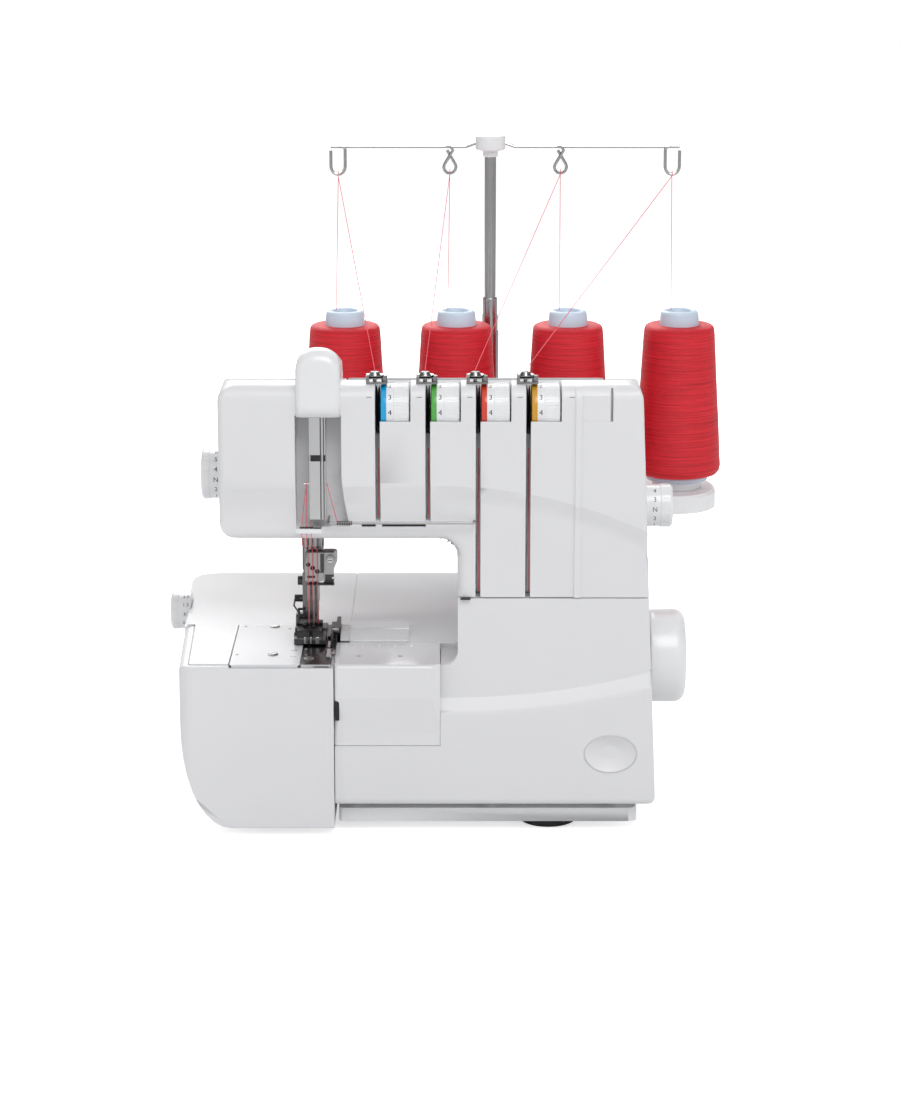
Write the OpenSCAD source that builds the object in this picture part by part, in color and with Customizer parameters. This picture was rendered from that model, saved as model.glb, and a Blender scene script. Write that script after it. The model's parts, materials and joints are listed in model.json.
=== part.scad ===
// Four-thread serger overlock machine with a telescopic thread stand.
// Front is -Y, the needle end is -X and +Z is up. The origin is on the table, under the middle.
// Heights are measured from the table, depths (y) from the foremost face of the machine.

/* [Bed and base] */
// Height of the sewing surface above the table
bed_top = 115; // [108:1:125]
// Depth of the bed from front to back
bed_depth = 237; // [228:1:245]
// Left edge of the bed at the front
bed_left = -169.5; // [-176:0.5:-166]
// How much further left the bed reaches at the back
bed_flare = 10; // [4:1:14]
// Height of the rubber feet
foot_height = 6.5; // [5:0.5:8]
// Radius of a rubber foot
foot_radius = 20; // [15:1:21]
// Height of the base pan
pan_height = 13.3; // [11:0.1:15]
// Left edge of the front cover and of the base pan
bay_left = -73.9; // [-76:0.1:-72]
// Right side of the machine at the base
base_right = 132.3; // [130:0.5:136]

/* [Arm and column] */
// Gap between the bed and the underside of the arm
arm_gap = 80; // [74:1:90]
// Height of the arm
arm_height = 100; // [96:1:110]
// Left end of the arm
arm_left = -146; // [-150:0.5:-142]
// Right side of the machine at the top
arm_right = 121; // [119:0.5:125]
// Left side of the column
column_left = 5; // [3:0.5:8]
// Height of the joint between the column and the front cover, above the bed
joint_rise = 41.7; // [38:0.5:46]
// Depth of the front face of the arm behind the foremost face
face_y = 4; // [3.5:0.1:4.5]
// Depth of the step in the front faces
face_step = 4.5; // [3.5:0.1:5]
// Where the front and rear housings of the arm meet
split_y = 40; // [39:0.5:42]
// Depth of the rear face of the arm
arm_back = 160; // [150:1:170]
// Depth of the rear face of the column
column_back = 200; // [196:1:203]
// Wall thickness of the covers
wall = 3; // [2.5:0.1:3.5]

/* [Tension dials] */
// Centre of the leftmost thread slot
slot_x = -45.5; // [-47:0.1:-44]
// Distance between thread slots
slot_pitch = 31.6; // [31:0.1:33]
// Width of a thread slot
slot_width = 3; // [2.6:0.1:3.4]
// Radius of a tension dial
dial_radius = 16; // [15:0.1:16.5]
// Width of a tension dial
dial_width = 18; // [16:0.1:20.5]
// Radius of the spindle that carries a tension dial
spindle_radius = 2.5; // [2:0.1:3]
// Height of the open window of a dial
window_height = 22.5; // [18:0.5:24]

/* [Needle end] */
// Centre of the needle bar from left to right
needle_x = -88.5; // [-89.5:0.1:-88]
// Depth of the needle line
needle_y = 66; // [64:0.5:67]
// Radius of the needle bar
needle_bar_radius = 3.5; // [3:0.1:3.8]
// Radius of the presser bar
presser_bar_radius = 3; // [2.5:0.1:3.4]
// Width of the needle plate
needle_plate_width = 19.6; // [18:0.1:20]
// Width of the cloth plate
cloth_plate_width = 45; // [42:0.5:46]
// Depth of both plates from front to back
plate_depth = 95.4; // [94:0.1:96]
// Thickness of both plates
plate_thickness = 2; // [1.5:0.1:2.4]
// Width of the take-up cover
dome_width = 28; // [26:0.5:30]
// Height of the take-up cover above the arm
dome_rise = 26; // [22:1:30]

/* [Front cover] */
// Opening depth of the cover from its front skin to its rim
cover_depth = 10; // [9:0.5:11]
// Radius of the hinge shaft
hinge_radius = 2.5; // [2:0.1:2.8]
// Radius of the arc of the sweeping ledge
sweep_radius = 493; // [470:1:520]
// Height of the lowest point of the sweeping ledge
sweep_low = 91; // [88:0.5:94]
// Length of the oval thumb recess
thumb_length = 34; // [28:0.5:38]
// Height of the oval thumb recess
thumb_height = 25.5; // [20:0.5:28]

/* [Dials and handwheel] */
// Radius of the handwheel
wheel_radius = 31; // [28:0.5:33]
// Width of the handwheel
wheel_width = 24.5; // [20:0.5:27]
// Radius of the main shaft
shaft_radius = 6; // [5:0.1:7]
// Radius of the stitch length dial
length_dial_radius = 14.5; // [13:0.5:16]
// Radius of the presser pressure dial
pressure_dial_radius = 16.5; // [15:0.5:18]
// Radius of the differential feed dial
feed_dial_radius = 12.7; // [11.5:0.1:13]
// Radius of the spindles of the three side dials
side_spindle_radius = 3; // [2.5:0.1:3.4]

/* [Thread stand] */
// Distance between two thread cones
cone_pitch = 77.9; // [74:0.1:80]
// Centre of the leftmost cone
first_cone_x = -73.4; // [-75:0.1:-72]
// Largest radius of the wound thread
cone_radius = 30.3; // [27:0.1:30.6]
// Radius of the wound thread at its top
cone_top_radius = 24; // [20:0.5:25]
// Height of the wound thread
cone_height = 106; // [90:1:108]
// Height of the top of the spool stand
stand_top = 179; // [177:0.5:181]
// Thickness of the spool stand
stand_thickness = 13; // [10:0.5:15]
// Radius of a spool pin
pin_radius = 4; // [3:0.1:4.5]
// Position of the telescopic mast from left to right
mast_x = 28.3; // [27.5:0.1:29]
// Radius of the sliding mast tube
mast_radius = 4; // [3.5:0.1:4.2]
// Height of the lower mast tube above the stand
mast_lower_height = 130.5; // [120:0.5:136]
// Height of the thread guide wire
guide_height = 416; // [414:0.5:440]
// Radius of the thread guide wire
wire_radius = 1.1; // [0.8:0.1:1.3]
// Radius of the sewing threads
thread_radius = 0.25; // [0.2:0.01:0.3]

/* [Front cover] */
// Sideways travel that frees the front cover before it swings open
cover_release = 6; // [4:0.5:7]

/* [Carrying handle] */
// Left end of the handle
handle_left = -65; // [-66:0.5:-62]
// Right end of the handle
handle_right = 98; // [92:0.5:99]
// Reach of the handle from its pivot
handle_reach = 46; // [40:0.5:47]
// Width of the bars of the handle
handle_bar = 12; // [9:0.5:13]
// Thickness of the handle
handle_thickness = 9; // [7:0.5:10]

/* [Hidden] */
$fn = 48;
cut = 1;                                  // how far a cutter reaches past a face
fit = 0.05;                               // radial running clearance of a shaft
gap = 0.3;                                // clearance between moving or separate covers
pan_top = foot_height + pan_height;
seam_z = bed_top + joint_rise;
arm_bottom = bed_top + arm_gap;
arm_top = arm_bottom + arm_height;
low_face_y = face_y + face_step;          // face of the column and of the upper cover
cover_front = low_face_y - 5;             // face of the lower, thicker part of the cover
cover_back = cover_front + cover_depth;
crease_top = arm_top - 64;                // the styling crease runs round the arm
crease_bottom = crease_top - 13;
crease_x = -6;
crease_radius = 302;
corner = 12;
dial_z = arm_top - 17;
dial_y = face_y + 0.3 + dial_radius;
slots = [for (i = [0:3]) slot_x + i * slot_pitch];
plates_right = bay_left - 2;
plates_left = plates_right - needle_plate_width - cloth_plate_width - gap;
plate_split = plates_right - needle_plate_width;
plate_z = bed_top + 0.2;
arm_floor = bed_top - 55;                 // underside of the free end of the bed
box_back = plate_depth + 2;
dome_x = -82.7;
dome_bottom = arm_top - 19;
dome_back = 56;
wheel_y = 95;
wheel_z = bed_top - 20.6;
cone_y = column_back + 32.5;
mast_y = cone_y + 29.2;
machine_depth = mast_y + 10.3;
mast_tube_radius = mast_radius + 2.2;
cones = [for (i = [0:3]) first_cone_x + i * cone_pitch];
stand_bottom = stand_top - stand_thickness;
cone_bottom = stand_top + 10;
cone_top = cone_bottom + cone_height;
core_top = cone_top + 10;
mast_joint = stand_top + mast_lower_height;
hinge_y = cover_front + 7.6;
hinge_z = pan_top + 5.8;
bay_back = needle_y + 27;
lever_y = face_y + 30;
lever_z = arm_top - 30;
lever_pin_radius = 2.5;
guide_x = -93.6;                          // eyes of the needle thread guide
guide_pitch = 3;
guide_y = 4.4;
presser_x = needle_x - 4.5;
knife_pivot_y = needle_y + 15;
knife_pivot_z = bed_top - 33;
white = "whitesmoke";

// ---------- helpers ----------

function unit(v) = v / norm(v);
function turn(from, to) = to - from > 180 ? to - from - 360 : to - from < -180 ? to - from + 360 : to - from;

// points of the arc that rounds one corner of an outline
function corner_arc(before, here, after, r, steps) =
  let (
    a = unit(before - here),
    b = unit(after - here),
    half = acos(a * b) / 2,
    centre = here + unit(a + b) * r / sin(half),
    start = here + a * r / tan(half) - centre,
    end = here + b * r / tan(half) - centre,
    from = atan2(start[1], start[0]),
    sweep = turn(from, atan2(end[1], end[0]))
  )
  [for (i = [0:steps]) centre + r * [cos(from + sweep * i / steps), sin(from + sweep * i / steps)]];

// outline from corners given as [x, y, radius]
function rounded(corners, steps = 5) =
  let (n = len(corners), xy = [for (c = corners) [c[0], c[1]]])
  [for (i = [0:n - 1])
    each (corners[i][2] > 0
      ? corner_arc(xy[(i + n - 1) % n], xy[i], xy[(i + 1) % n], corners[i][2], steps)
      : [xy[i]])];

function box_outline(x0, x1, y0, y1, r) = rounded([[x0, y0, r], [x1, y0, r], [x1, y1, r], [x0, y1, r]]);
function ellipse_points(cx, cy, rx, ry, steps = 36) =
  [for (i = [0:steps - 1]) [cx + rx * cos(i * 360 / steps), cy + ry * sin(i * 360 / steps)]];

// right side of the column: it leans in towards the top
function side_x(z) = base_right - (base_right - arm_right) * max(0, z - pan_top) / (arm_top - pan_top);
// left side of the bed at a given depth
function bed_left_at(y) = bed_left - bed_flare * y / bed_depth;
// height of the arm's top face, which slopes down to the back
function top_z(y) = arm_top - max(0, y - 33) * tan(14);

module placed() translate([0, -machine_depth / 2, 0]) children();

// outline in x and z, swept from y0 to y1
module front_prism(points, y0, y1)
  translate([0, y1, 0]) rotate([90, 0, 0]) linear_extrude(y1 - y0) polygon(points);

// outline in y and z, swept from x0 to x1
module side_prism(points, x0, x1)
  translate([x0, 0, 0]) rotate([90, 0, 90]) linear_extrude(x1 - x0) polygon(points);

// outline in x and y, swept from z0 to z1
module plan_prism(points, z0, z1)
  translate([0, 0, z0]) linear_extrude(z1 - z0) polygon(points);

module block(x0, x1, y0, y1, z0, z1) translate([x0, y0, z0]) cube([x1 - x0, y1 - y0, z1 - z0]);
module x_rod(r, x0, x1, y, z) translate([x0, y, z]) rotate([0, 90, 0]) cylinder(h = x1 - x0, r = r);
module y_rod(r, y0, y1, x, z) translate([x, y1, z]) rotate([90, 0, 0]) cylinder(h = y1 - y0, r = r);
module z_rod(r, z0, z1, x, y) translate([x, y, z0]) cylinder(h = z1 - z0, r = r);

// profile of [distance from the axis, position along it], turned round an axis along x
module x_turned(profile, x, y, z) translate([x, y, z]) rotate([0, 90, 0]) rotate_extrude() polygon(profile);
module z_turned(profile, x, y, z) translate([x, y, z]) rotate_extrude() polygon(profile);

function ring_points(p, t, across, r, sides) =
  let (n = unit(cross(t, across)), b = cross(t, n))
  [for (k = [0:sides - 1]) p + r * (cos(360 * k / sides) * n + sin(360 * k / sides) * b)];

// round wire along a path; across is any direction the path never runs in
module wire(path, r, across = [0, 1, 0], sides = 8) {
  n = len(path);
  rings = [for (i = [0:n - 1])
    each ring_points(path[i], unit(path[min(i + 1, n - 1)] - path[max(i - 1, 0)]), across, r, sides)];
  skin = [for (i = [0:n - 2], k = [0:sides - 1]) let (m = (k + 1) % sides)
    each [[i * sides + k, (i + 1) * sides + m, i * sides + m],
          [i * sides + k, (i + 1) * sides + k, (i + 1) * sides + m]]];
  near_end = [[for (k = [0:sides - 1]) k]];
  far_end = [[for (k = [0:sides - 1]) n * sides - 1 - k]];
  polyhedron(rings, concat(skin, near_end, far_end), convexity = 4);
}

// material between a square edge and its rounding, as [inward, down] from the edge
function edge_spandrel(r, steps = 5) =
  concat([[-0.01, -0.01], [r, -0.01]], [for (i = [0:steps]) [r - r * sin(90 * i / steps), r - r * cos(90 * i / steps)]]);

// ---------- base and bed ----------

module pan_outline_prism(z0, z1, inset = 0)
  plan_prism(rounded([
    [bay_left + 2 + inset, 12 + inset, 3], [side_x(pan_top) - 11.5 - inset, 12 + inset, 5],
    [side_x(pan_top) - 11.5 - inset, bed_depth - 9 - inset, 14],
    [bed_left + 4 + inset, bed_depth - 9 - inset, 14], [bed_left + 4 + inset, box_back + 4 + inset, 4],
    [bay_left + 2 + inset, box_back + 4 + inset, 4]]), z0, z1);

// space that the lower edge of the opening cover swings through
cover_sweep = norm([hinge_y - cover_front, hinge_z - pan_top]) + 0.5;

module hinge_ears() {
  for (x = [bay_left + 12, 24, base_right - 26])
    difference() {
      union() {
        x_rod(4.1, x, x + 6, hinge_y, hinge_z);
        // neck behind the swing of the cover's lower edge
        block(x, x + 6, hinge_y + 5.9, hinge_y + 9, pan_top - 8, hinge_z + 2);
        block(x, x + 6, hinge_y + 2, hinge_y + 9, hinge_z - 4, hinge_z + 2);
      }
      x_rod(hinge_radius + fit, x - cut, x + 6 + cut, hinge_y, hinge_z);
    }
}

module base_pan() placed() color("gainsboro") {
  difference() {
    pan_outline_prism(foot_height, pan_top);
    x_rod(cover_sweep, bay_left - 20, base_right + 20, hinge_y, hinge_z);
    // stiffening pockets in the underside
    for (x = [-52:40:90], y = [78:40:200]) block(x, x + 34, y, y + 34, foot_height - cut, foot_height + 8);
    for (x = [-142, -102], y = [118, 158]) block(x, x + 34, y, y + 34, foot_height - cut, foot_height + 8);
  }
  hinge_ears();
}

module rubber_feet() placed() color("black")
  for (p = [[64, 37], [-44, 62], [92, 206], [-138, 206]])
    z_turned([[0, 0], [foot_radius - 2, 0], [foot_radius, 2], [foot_radius, foot_height], [0, foot_height]], p[0], p[1], 0);

// outline of the free end seen from the front: the corner below is a long curve
function free_end(inset, z_low, z_high, x_right) =
  concat([[x_right, z_low]],
    [for (a = [90:-10:0]) [bed_left - 3.7 + inset + 32 - 32 * cos(a), 75 - (75 - z_low) * sin(a)]],
    corner_arc([bed_left - 3.7 + inset, 75], [bed_left - 3.7 + inset, z_high], [x_right, z_high], 5 - inset, 4),
    [[x_right, z_high]]);
// free end of the bed in plan
function free_end_plan(grow, right) = [
  [bed_left + 3 - grow, face_y - grow], [right, face_y - grow], [right, box_back + 9],
  [bed_left_at(box_back) + 3 - grow, box_back + 9]];
// the left side of the bed flares out towards the back
module flared() multmatrix([[1, -bed_flare / bed_depth, 0, 0], [0, 1, 0, 0], [0, 0, 1, 0]]) children();

module bed_body() {
  // rear body
  plan_prism(rounded([
    [bed_left_at(box_back) - 3.7, box_back + gap, 0.3], [bay_left, box_back + gap, 0], [bay_left, cover_back + gap, 0],
    [base_right, cover_back + gap, 0], [base_right, bed_depth, 20],
    [bed_left_at(bed_depth) - 3.7, bed_depth, 18]]), pan_top, bed_top - 1.5);
  plan_prism(rounded([
    [bed_left_at(box_back) - 2.4, box_back + gap, 0.3], [bay_left, box_back + gap, 0], [bay_left, needle_y - 12.5, 0],
    [column_left, needle_y - 12.5, 0], [column_left, cover_back + gap, 0],
    [base_right - 5, cover_back + gap, 0], [base_right - 5, bed_depth - 1.5, 16],
    [bed_left_at(bed_depth) - 2.4, bed_depth - 1.5, 17]]), bed_top - 8, bed_top);
  // free end
  plan_prism(free_end_plan(0, bay_left - gap), arm_floor, bed_top);
  // lower part of the column
  plan_prism(rounded([[column_left, cover_back + gap, 0], [base_right, cover_back + gap, 0],
                      [side_x(seam_z), column_back, 20], [column_left, column_back, 5]]), bed_top - cut, seam_z);
}

module bed_housing() placed() color(white)
  difference() {
    bed_body();
    // looper bay behind the front cover, reaching into the free end
    block(bay_left + wall, side_x(seam_z) - 5, cover_back - cut, bay_back, pan_top - cut, bed_top - 6);
    block(column_left + wall, side_x(seam_z) - 5, cover_back - cut, bay_back, bed_top - 10, seam_z - 4);
    block(-108, bay_left + 2 * wall, cover_back - 5, bay_back, arm_floor + 6, bed_top - 6);
    block(bay_left - gap, column_left, cover_back - cut, needle_y - 12.5, arm_floor, bed_top + cut);
    // outer side, which leans in towards the top
    front_prism([[side_x(pan_top), pan_top - cut], [base_right + 40, pan_top - cut], [base_right + 40, arm_top],
                 [side_x(arm_top), arm_top]], -cut, machine_depth);
    // seat of the plates and the way through for the needles and feed dogs
    block(plates_left - gap, bay_left + 0.5, -cut, plate_depth + 0.7 + gap, plate_z - plate_thickness, bed_top + cut);
    block(plate_split + 0.5, bay_left + cut, 34, bay_back, bed_top - 10, bed_top + cut);
    block(bay_left - cut, -66, needle_y - 14, bay_back, bed_top - 10, bed_top + cut);
    // shafts
    x_rod(shaft_radius + fit, 40, base_right + 20, wheel_y, wheel_z);
    x_rod(side_spindle_radius + fit, bed_left_at(150) - 20, bed_left_at(150) + 24, 150, bed_top - 4.4);
    x_rod(feed_dial_radius + 0.8, bed_left_at(150) - 20, bed_left_at(150) - 0.6, 150, bed_top - 4.4);
    // housings of the power inlet and switch
    block(base_right - 24, base_right + 20, 158, 188, 30, 56);
    block(base_right - 24, base_right + 20, 162, 184, 62, 80);
    // seam of the bed cover
    block(-66.3, -65.7, plate_depth + 5, bed_depth + cut, bed_top - 0.8, bed_top + cut);
    // room for the lower edge of the opening front cover
    x_rod(cover_sweep, bay_left - cut, base_right + 20, hinge_y, hinge_z);
  }

module looper_shafts() placed() color("silver") {
  y_rod(4, 56, bay_back, -34, 52);
  y_rod(4, 36, bay_back, -22, 84);
  x_rod(3, -64, 20, 82, 40);
  block(17, 20, 78, bay_back, 36, 44);
  block(-64, -61, 78, bay_back, 36, 44);
  // pivot of the upper knife
  x_rod(2.5, plates_right - 3.5, bay_left + 5.5, knife_pivot_y, knife_pivot_z);
  block(bay_left + 2.5, bay_left + 5.5, knife_pivot_y - 4, bay_back, knife_pivot_z - 4, knife_pivot_z + 4);
}

module cloth_plate() placed() color("white")
  difference() {
    plan_prism(box_outline(plates_left, plate_split - gap, 0.7, 0.7 + plate_depth, 1.5), plate_z - plate_thickness, plate_z);
    for (p = [[-116.6, 91], [-114.1, 24]]) z_rod(2.4, bed_top - 9, bed_top + 9, p[0], p[1]);
    for (p = [[-135.9, 91], [-137, 24], [-106.3, 86]]) z_rod(1, bed_top - 9, bed_top + 9, p[0], p[1]);
  }

module needle_plate() placed() color("silver")
  difference() {
    plan_prism(box_outline(plate_split, plates_right, 0.7, 0.7 + plate_depth, 1.5), plate_z - plate_thickness, plate_z);
    // needle slot, feed dog slots and the notch for the knives
    block(needle_x - 5.5, needle_x + 4.5, needle_y - 2, needle_y + 2, bed_top - 9, bed_top + 9);
    for (x = [needle_x - 6.2, needle_x + 2]) block(x, x + 3, needle_y + 5, needle_y + 25, bed_top - 9, bed_top + 9);
    block(needle_x - 1.7, needle_x + 1.3, needle_y + 8, needle_y + 25, bed_top - 9, bed_top + 9);
    for (x = [needle_x - 6.2, needle_x + 2]) block(x, x + 3, needle_y - 16, needle_y - 5, bed_top - 9, bed_top + 9);
    block(plates_right - 4.4, plates_right + cut, needle_y - 26, needle_y + 2, bed_top - 9, bed_top + 9);
    z_rod(2.4, bed_top - 9, bed_top + 9, plate_split + 5, 14);
  }

// screw with an oval head and a driving slot
module plate_screw(x, y, r) {
  difference() {
    z_turned([[0, -plate_thickness], [r * 0.55, -plate_thickness], [r * 0.55, 0], [r, 0], [r, 0.5], [r * 0.7, 1], [0, 1.1]], x, y, plate_z);
    translate([x, y, plate_z + 1]) rotate(25) cube([2.4 * r, 0.8, 1], center = true);
  }
}

module machine_screws() placed() color("silver") {
  for (p = [[-116.6, 91], [-114.1, 24], [plate_split + 5, 14]]) plate_screw(p[0], p[1], 3.4);
  // housing screws on the back of the arm
  for (x = [arm_left + 14, column_left - 22], z = [arm_bottom + 12, arm_top - 52])
    y_rod(3.2, arm_back, arm_back + 1.6, x, z);
}

module looper_guard() placed() color(white)
  side_prism(rounded([[needle_y - 12, bed_top, 0], [needle_y - 12, bed_top + 1.2, 0.6], [needle_y - 3, bed_top + 6.5, 4],
                      [needle_y + 18, bed_top + 6.5, 5], [needle_y + 32, bed_top, 0]]), -65.5, -27);

module lower_knife() placed() color("silver") {
  block(plates_right - 3.8, plates_right - 2, needle_y - 24, needle_y - 10, bed_top - 22, bed_top + 0.2);
  block(plates_right - 3.8, plates_right + 1.4, needle_y - 24, needle_y - 10, bed_top - 30, bed_top - 20);
  block(plates_right - 3.8, plates_right + 1.4, cover_back + 2, needle_y - 10, arm_floor + 6, bed_top - 30);
}

// ---------- arm and column housings ----------

arm_front_view = [
  [arm_left, arm_bottom, corner], [arm_left, arm_top, 10], [arm_right, arm_top, 10],
  [side_x(seam_z), seam_z + 0.7, 0.5], [column_left, seam_z + 0.7, 0.5], [column_left, arm_bottom, corner]
];

module front_skin_profile(x0, x1, front, back)
  side_prism(concat(rounded([[front, seam_z - 5, 0], [front, arm_top, 10], [33, arm_top, 6]]),
    [[back, top_z(back)], [back, seam_z - 5]]), x0, x1);

// everything in front of the crease, which drops in an arc to the right
module crease_cut(depth_shift) translate([0, depth_shift, 0]) {
  side_prism([[-9, crease_top], [face_y, crease_top], [low_face_y, crease_bottom], [low_face_y, seam_z - 9],
              [-9, seam_z - 9]], arm_left - 9, crease_x);
  intersection() {
    union() {
      translate([crease_x, low_face_y, crease_top - crease_radius]) rotate([90, 0, 0])
        cylinder(h = face_step, r1 = crease_radius - 13, r2 = crease_radius, $fn = 240);
      y_rod(crease_radius, -9, face_y + 0.001, crease_x, crease_top - crease_radius, $fn = 240);
    }
    block(crease_x, base_right + 9, -9, low_face_y, seam_z - 9, crease_top + 9);
  }
}

module front_block() {
  difference() {
    intersection() {
      front_prism(rounded(arm_front_view), face_y, split_y);
      front_skin_profile(arm_left - 9, base_right + 9, face_y, split_y);
    }
    crease_cut(0);
    // rolled lower edge of the arm, the inner corner and the column edge
    side_prism([for (p = edge_spandrel(6)) [low_face_y + p[0], arm_bottom + p[1]]], arm_left - 9, column_left - corner);
    translate([column_left, low_face_y, 0])
      linear_extrude(arm_bottom - corner) polygon(edge_spandrel(6));
    translate([column_left - corner, low_face_y, arm_bottom - corner]) rotate([-90, 0, 0]) rotate([0, 0, -90])
      rotate_extrude(angle = 90) polygon([for (p = edge_spandrel(6)) [corner + p[0], p[1]]]);
  }
  // raised vertical rib right of the dials
  difference() {
    intersection() {
      block(slots[3] + 29.4, slots[3] + 33.6, face_y - 1.2, low_face_y + 2, seam_z + 0.7, arm_top - 1);
      front_skin_profile(arm_left - 9, base_right + 9, face_y - 1.2, split_y);
    }
    crease_cut(-1.2);
  }
}

module recess_cut()
  front_prism([[dome_x - dome_width / 2 - 0.6, arm_bottom + 9], [dome_x - dome_width / 2 - 0.6, dome_bottom],
               [dome_x + dome_width / 2 + 0.2, dome_bottom], [dome_x + dome_width / 2 + 0.2, arm_bottom + 42],
               [dome_x + dome_width / 2 + 1.6, arm_bottom + 26], [dome_x + dome_width / 2 + 5, arm_bottom + 9]], -cut, 20);

module dial_pockets() {
  for (i = [0:3]) {
    x = slots[i];
    bottom = i < 2 ? arm_bottom + 12.6 : seam_z - cut;
    block(x - slot_width / 2, x + slot_width / 2, -cut, 22, bottom, arm_top + cut);
    x_rod(dial_radius + 0.8, x - slot_width / 2, x + slot_width / 2 + dial_width + 1.2, dial_y, dial_z);
    block(x, x + slot_width / 2 + dial_width + 1.2, -cut, dial_y, arm_top - window_height, arm_top + cut);
    block(x - slot_width / 2, x + slot_width / 2 + dial_width + 1.2, dial_y - cut, dial_y + dial_radius + 0.8, dial_z, arm_top + cut);
    x_rod(spindle_radius, x - 4.5, x + dial_width + 5.5, dial_y, dial_z);
  }
}

module front_housing() placed() color(white)
  difference() {
    front_block();
    recess_cut();
    dial_pockets();
    // chamber of the needle bar and the way up into the take-up cover
    block(needle_x - 16, needle_x + 15, 30, split_y + cut, arm_bottom - cut, arm_top - 12);
    block(dome_x - 4.6, dome_x + 3.2, 19, split_y + cut, arm_bottom + 40, arm_top + cut);
    block(dome_x - 6, dome_x + 6, -cut, 20, dome_bottom - cut, arm_top + cut);
    x_rod(lever_pin_radius + fit, needle_x - 21, needle_x + 20, lever_y, lever_z);
    // blank window beside the rib, with its slit
    block(slots[3] + 33.6, slots[3] + 51.5, -cut, face_y + 0.8, arm_top - window_height, arm_top + cut);
    block(slots[3] + 51.5, slots[3] + 52.9, -cut, face_y + 6, arm_top - window_height, arm_top - 2);
    // slots under the guide wire
    block(slots[0] - 10.5, slots[0] - 1.5, -cut, low_face_y + 7, arm_bottom + 8.6, arm_bottom + 11.2);
    block(slots[0] + 2.5, slots[1] - 1.5, -cut, low_face_y + 7, arm_bottom + 8.6, arm_bottom + 11.2);
    block(handle_left - 0.6, handle_right + 0.6, split_y - 1, split_y + cut, arm_top - 24, arm_top + cut);
  }

module rear_housing() placed() color(white)
  difference() {
    intersection() {
      front_prism(rounded(arm_front_view), split_y, column_back);
      side_prism([[split_y, seam_z - 5], [split_y, top_z(split_y)],
        each corner_arc([split_y, top_z(split_y)], [arm_back, top_z(arm_back)], [arm_back, arm_bottom], 18, 5),
        [arm_back, arm_top - 60], [column_back, arm_top - 68], [column_back, seam_z - 5]], arm_left - 9, base_right + 9);
      plan_prism(rounded([[arm_left, split_y, 0], [arm_right + 20, split_y, 0], [side_x(arm_bottom), column_back, 20],
        [column_left, column_back, 5], [column_left - 0.5, arm_back, 0], [arm_left, arm_back, 20]]), seam_z - 5, arm_top + 5);
    }
    // chamber of the needle bar and presser bar
    block(needle_x - 16, needle_x + 15, split_y - cut, needle_y + 17, arm_bottom - cut, arm_top - 16);
    block(dome_x - 10, dome_x + 10, split_y - cut, 52, arm_bottom + 40, arm_top + cut);
    // recess and pivots of the carrying handle
    block(handle_left - 0.6, handle_right + 0.6, split_y - cut, handle_pivot_y + 9.5, arm_top - 30, arm_top + cut);
    x_rod(2.5 + fit, handle_left - 6, handle_right + 6, handle_pivot_y, handle_pivot_z);
    // dial spindles
    x_rod(side_spindle_radius + fit, arm_left - 9, arm_left + 22, 70, pressure_z);
    x_rod(side_spindle_radius + fit, side_x(length_z) - 24, base_right + 9, 110, length_z);
    // cooling slots in the rear wall of the column
    for (i = [0:6]) block(38 + i * 9, 42 + i * 9, column_back - 5, column_back + cut, arm_bottom - 6, arm_bottom + 18);
    // pivot of the presser lifter
    y_rod(3 + fit, arm_back - 22, arm_back + cut, needle_x - 7, arm_bottom + 14);
  }

pressure_z = arm_bottom + 29.5;
length_z = arm_bottom - 1;
handle_pivot_y = split_y + 1 + handle_reach;
handle_pivot_z = top_z(handle_pivot_y) - 9;

// front view and side view of the take-up cover, drawn smaller by its wall for the hollow inside
function dome_front(wall) =
  let (r = dome_width / 2 - wall, low = dome_bottom - (wall > 0 ? cut : 0), z = arm_top + dome_rise - dome_width / 2)
  concat([[dome_x - r, low]], [for (a = [180:-12:0]) [dome_x + r * cos(a), z + r * sin(a)]], [[dome_x + r, low]]);
function dome_side(wall) =
  let (top = arm_top + dome_rise - wall)
  rounded([[wall, dome_bottom - (wall > 0 ? cut : 0), 0], [wall, top, 10 - wall], [30, top - 6.5, 34], [dome_back - 2 * wall, top_z(dome_back) + 0.01, 0]]);

module take_up_cover() placed() color("white")
  difference() {
    intersection() {
      front_prism(dome_front(0), 0, dome_back);
      side_prism(concat(dome_side(0), [[33, arm_top + 0.01], [face_y, arm_top + 0.01], [face_y, dome_bottom]]), dome_x - 30, dome_x + 30);
    }
    intersection() {
      front_prism(dome_front(2), 0, dome_back);
      side_prism(concat(dome_side(2), [[dome_back - 4, dome_bottom - cut]]), dome_x - 30, dome_x + 30);
    }
  }

module take_up_strip() placed() color("silver")
  difference() {
    block(dome_x - 5.8, dome_x + 4.4, 1.6, 20, arm_bottom + 15, dome_bottom - 0.3);
    block(dome_x - 4.8, dome_x + 3.4, 2.6, 20 + cut, arm_bottom + 14, dome_bottom + cut);
    block(dome_x - 9, dome_x + 9, 0, 2.1, arm_top - 47.5, arm_top - 43.5);
  }

module arm_thread_guides() placed() color("silver") {
  z = arm_bottom + 12.5;
  // long guide wire with its ends turned into the arm
  wire([[dome_x + 6, 20, z], [dome_x + 6, 5, z], [dome_x + 7, 3.2, z], [dome_x + 9, 2.8, z],
        [slots[2] - 4, 2.8, z], [slots[2] - 2.8, 3.4, z], [slots[2] - 2.4, 5, z], [slots[2] - 2.4, low_face_y, z]], 0.9, [0, 0, 1]);
  // needle thread guide under the recess
  difference() {
    block(-97.2, -80.9, 1.6, low_face_y, arm_bottom + 6, arm_bottom + 8.8);
    for (i = [0:3]) z_rod(0.8, arm_bottom, arm_bottom + 19, guide_x + i * guide_pitch, guide_y);
  }
}

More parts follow.
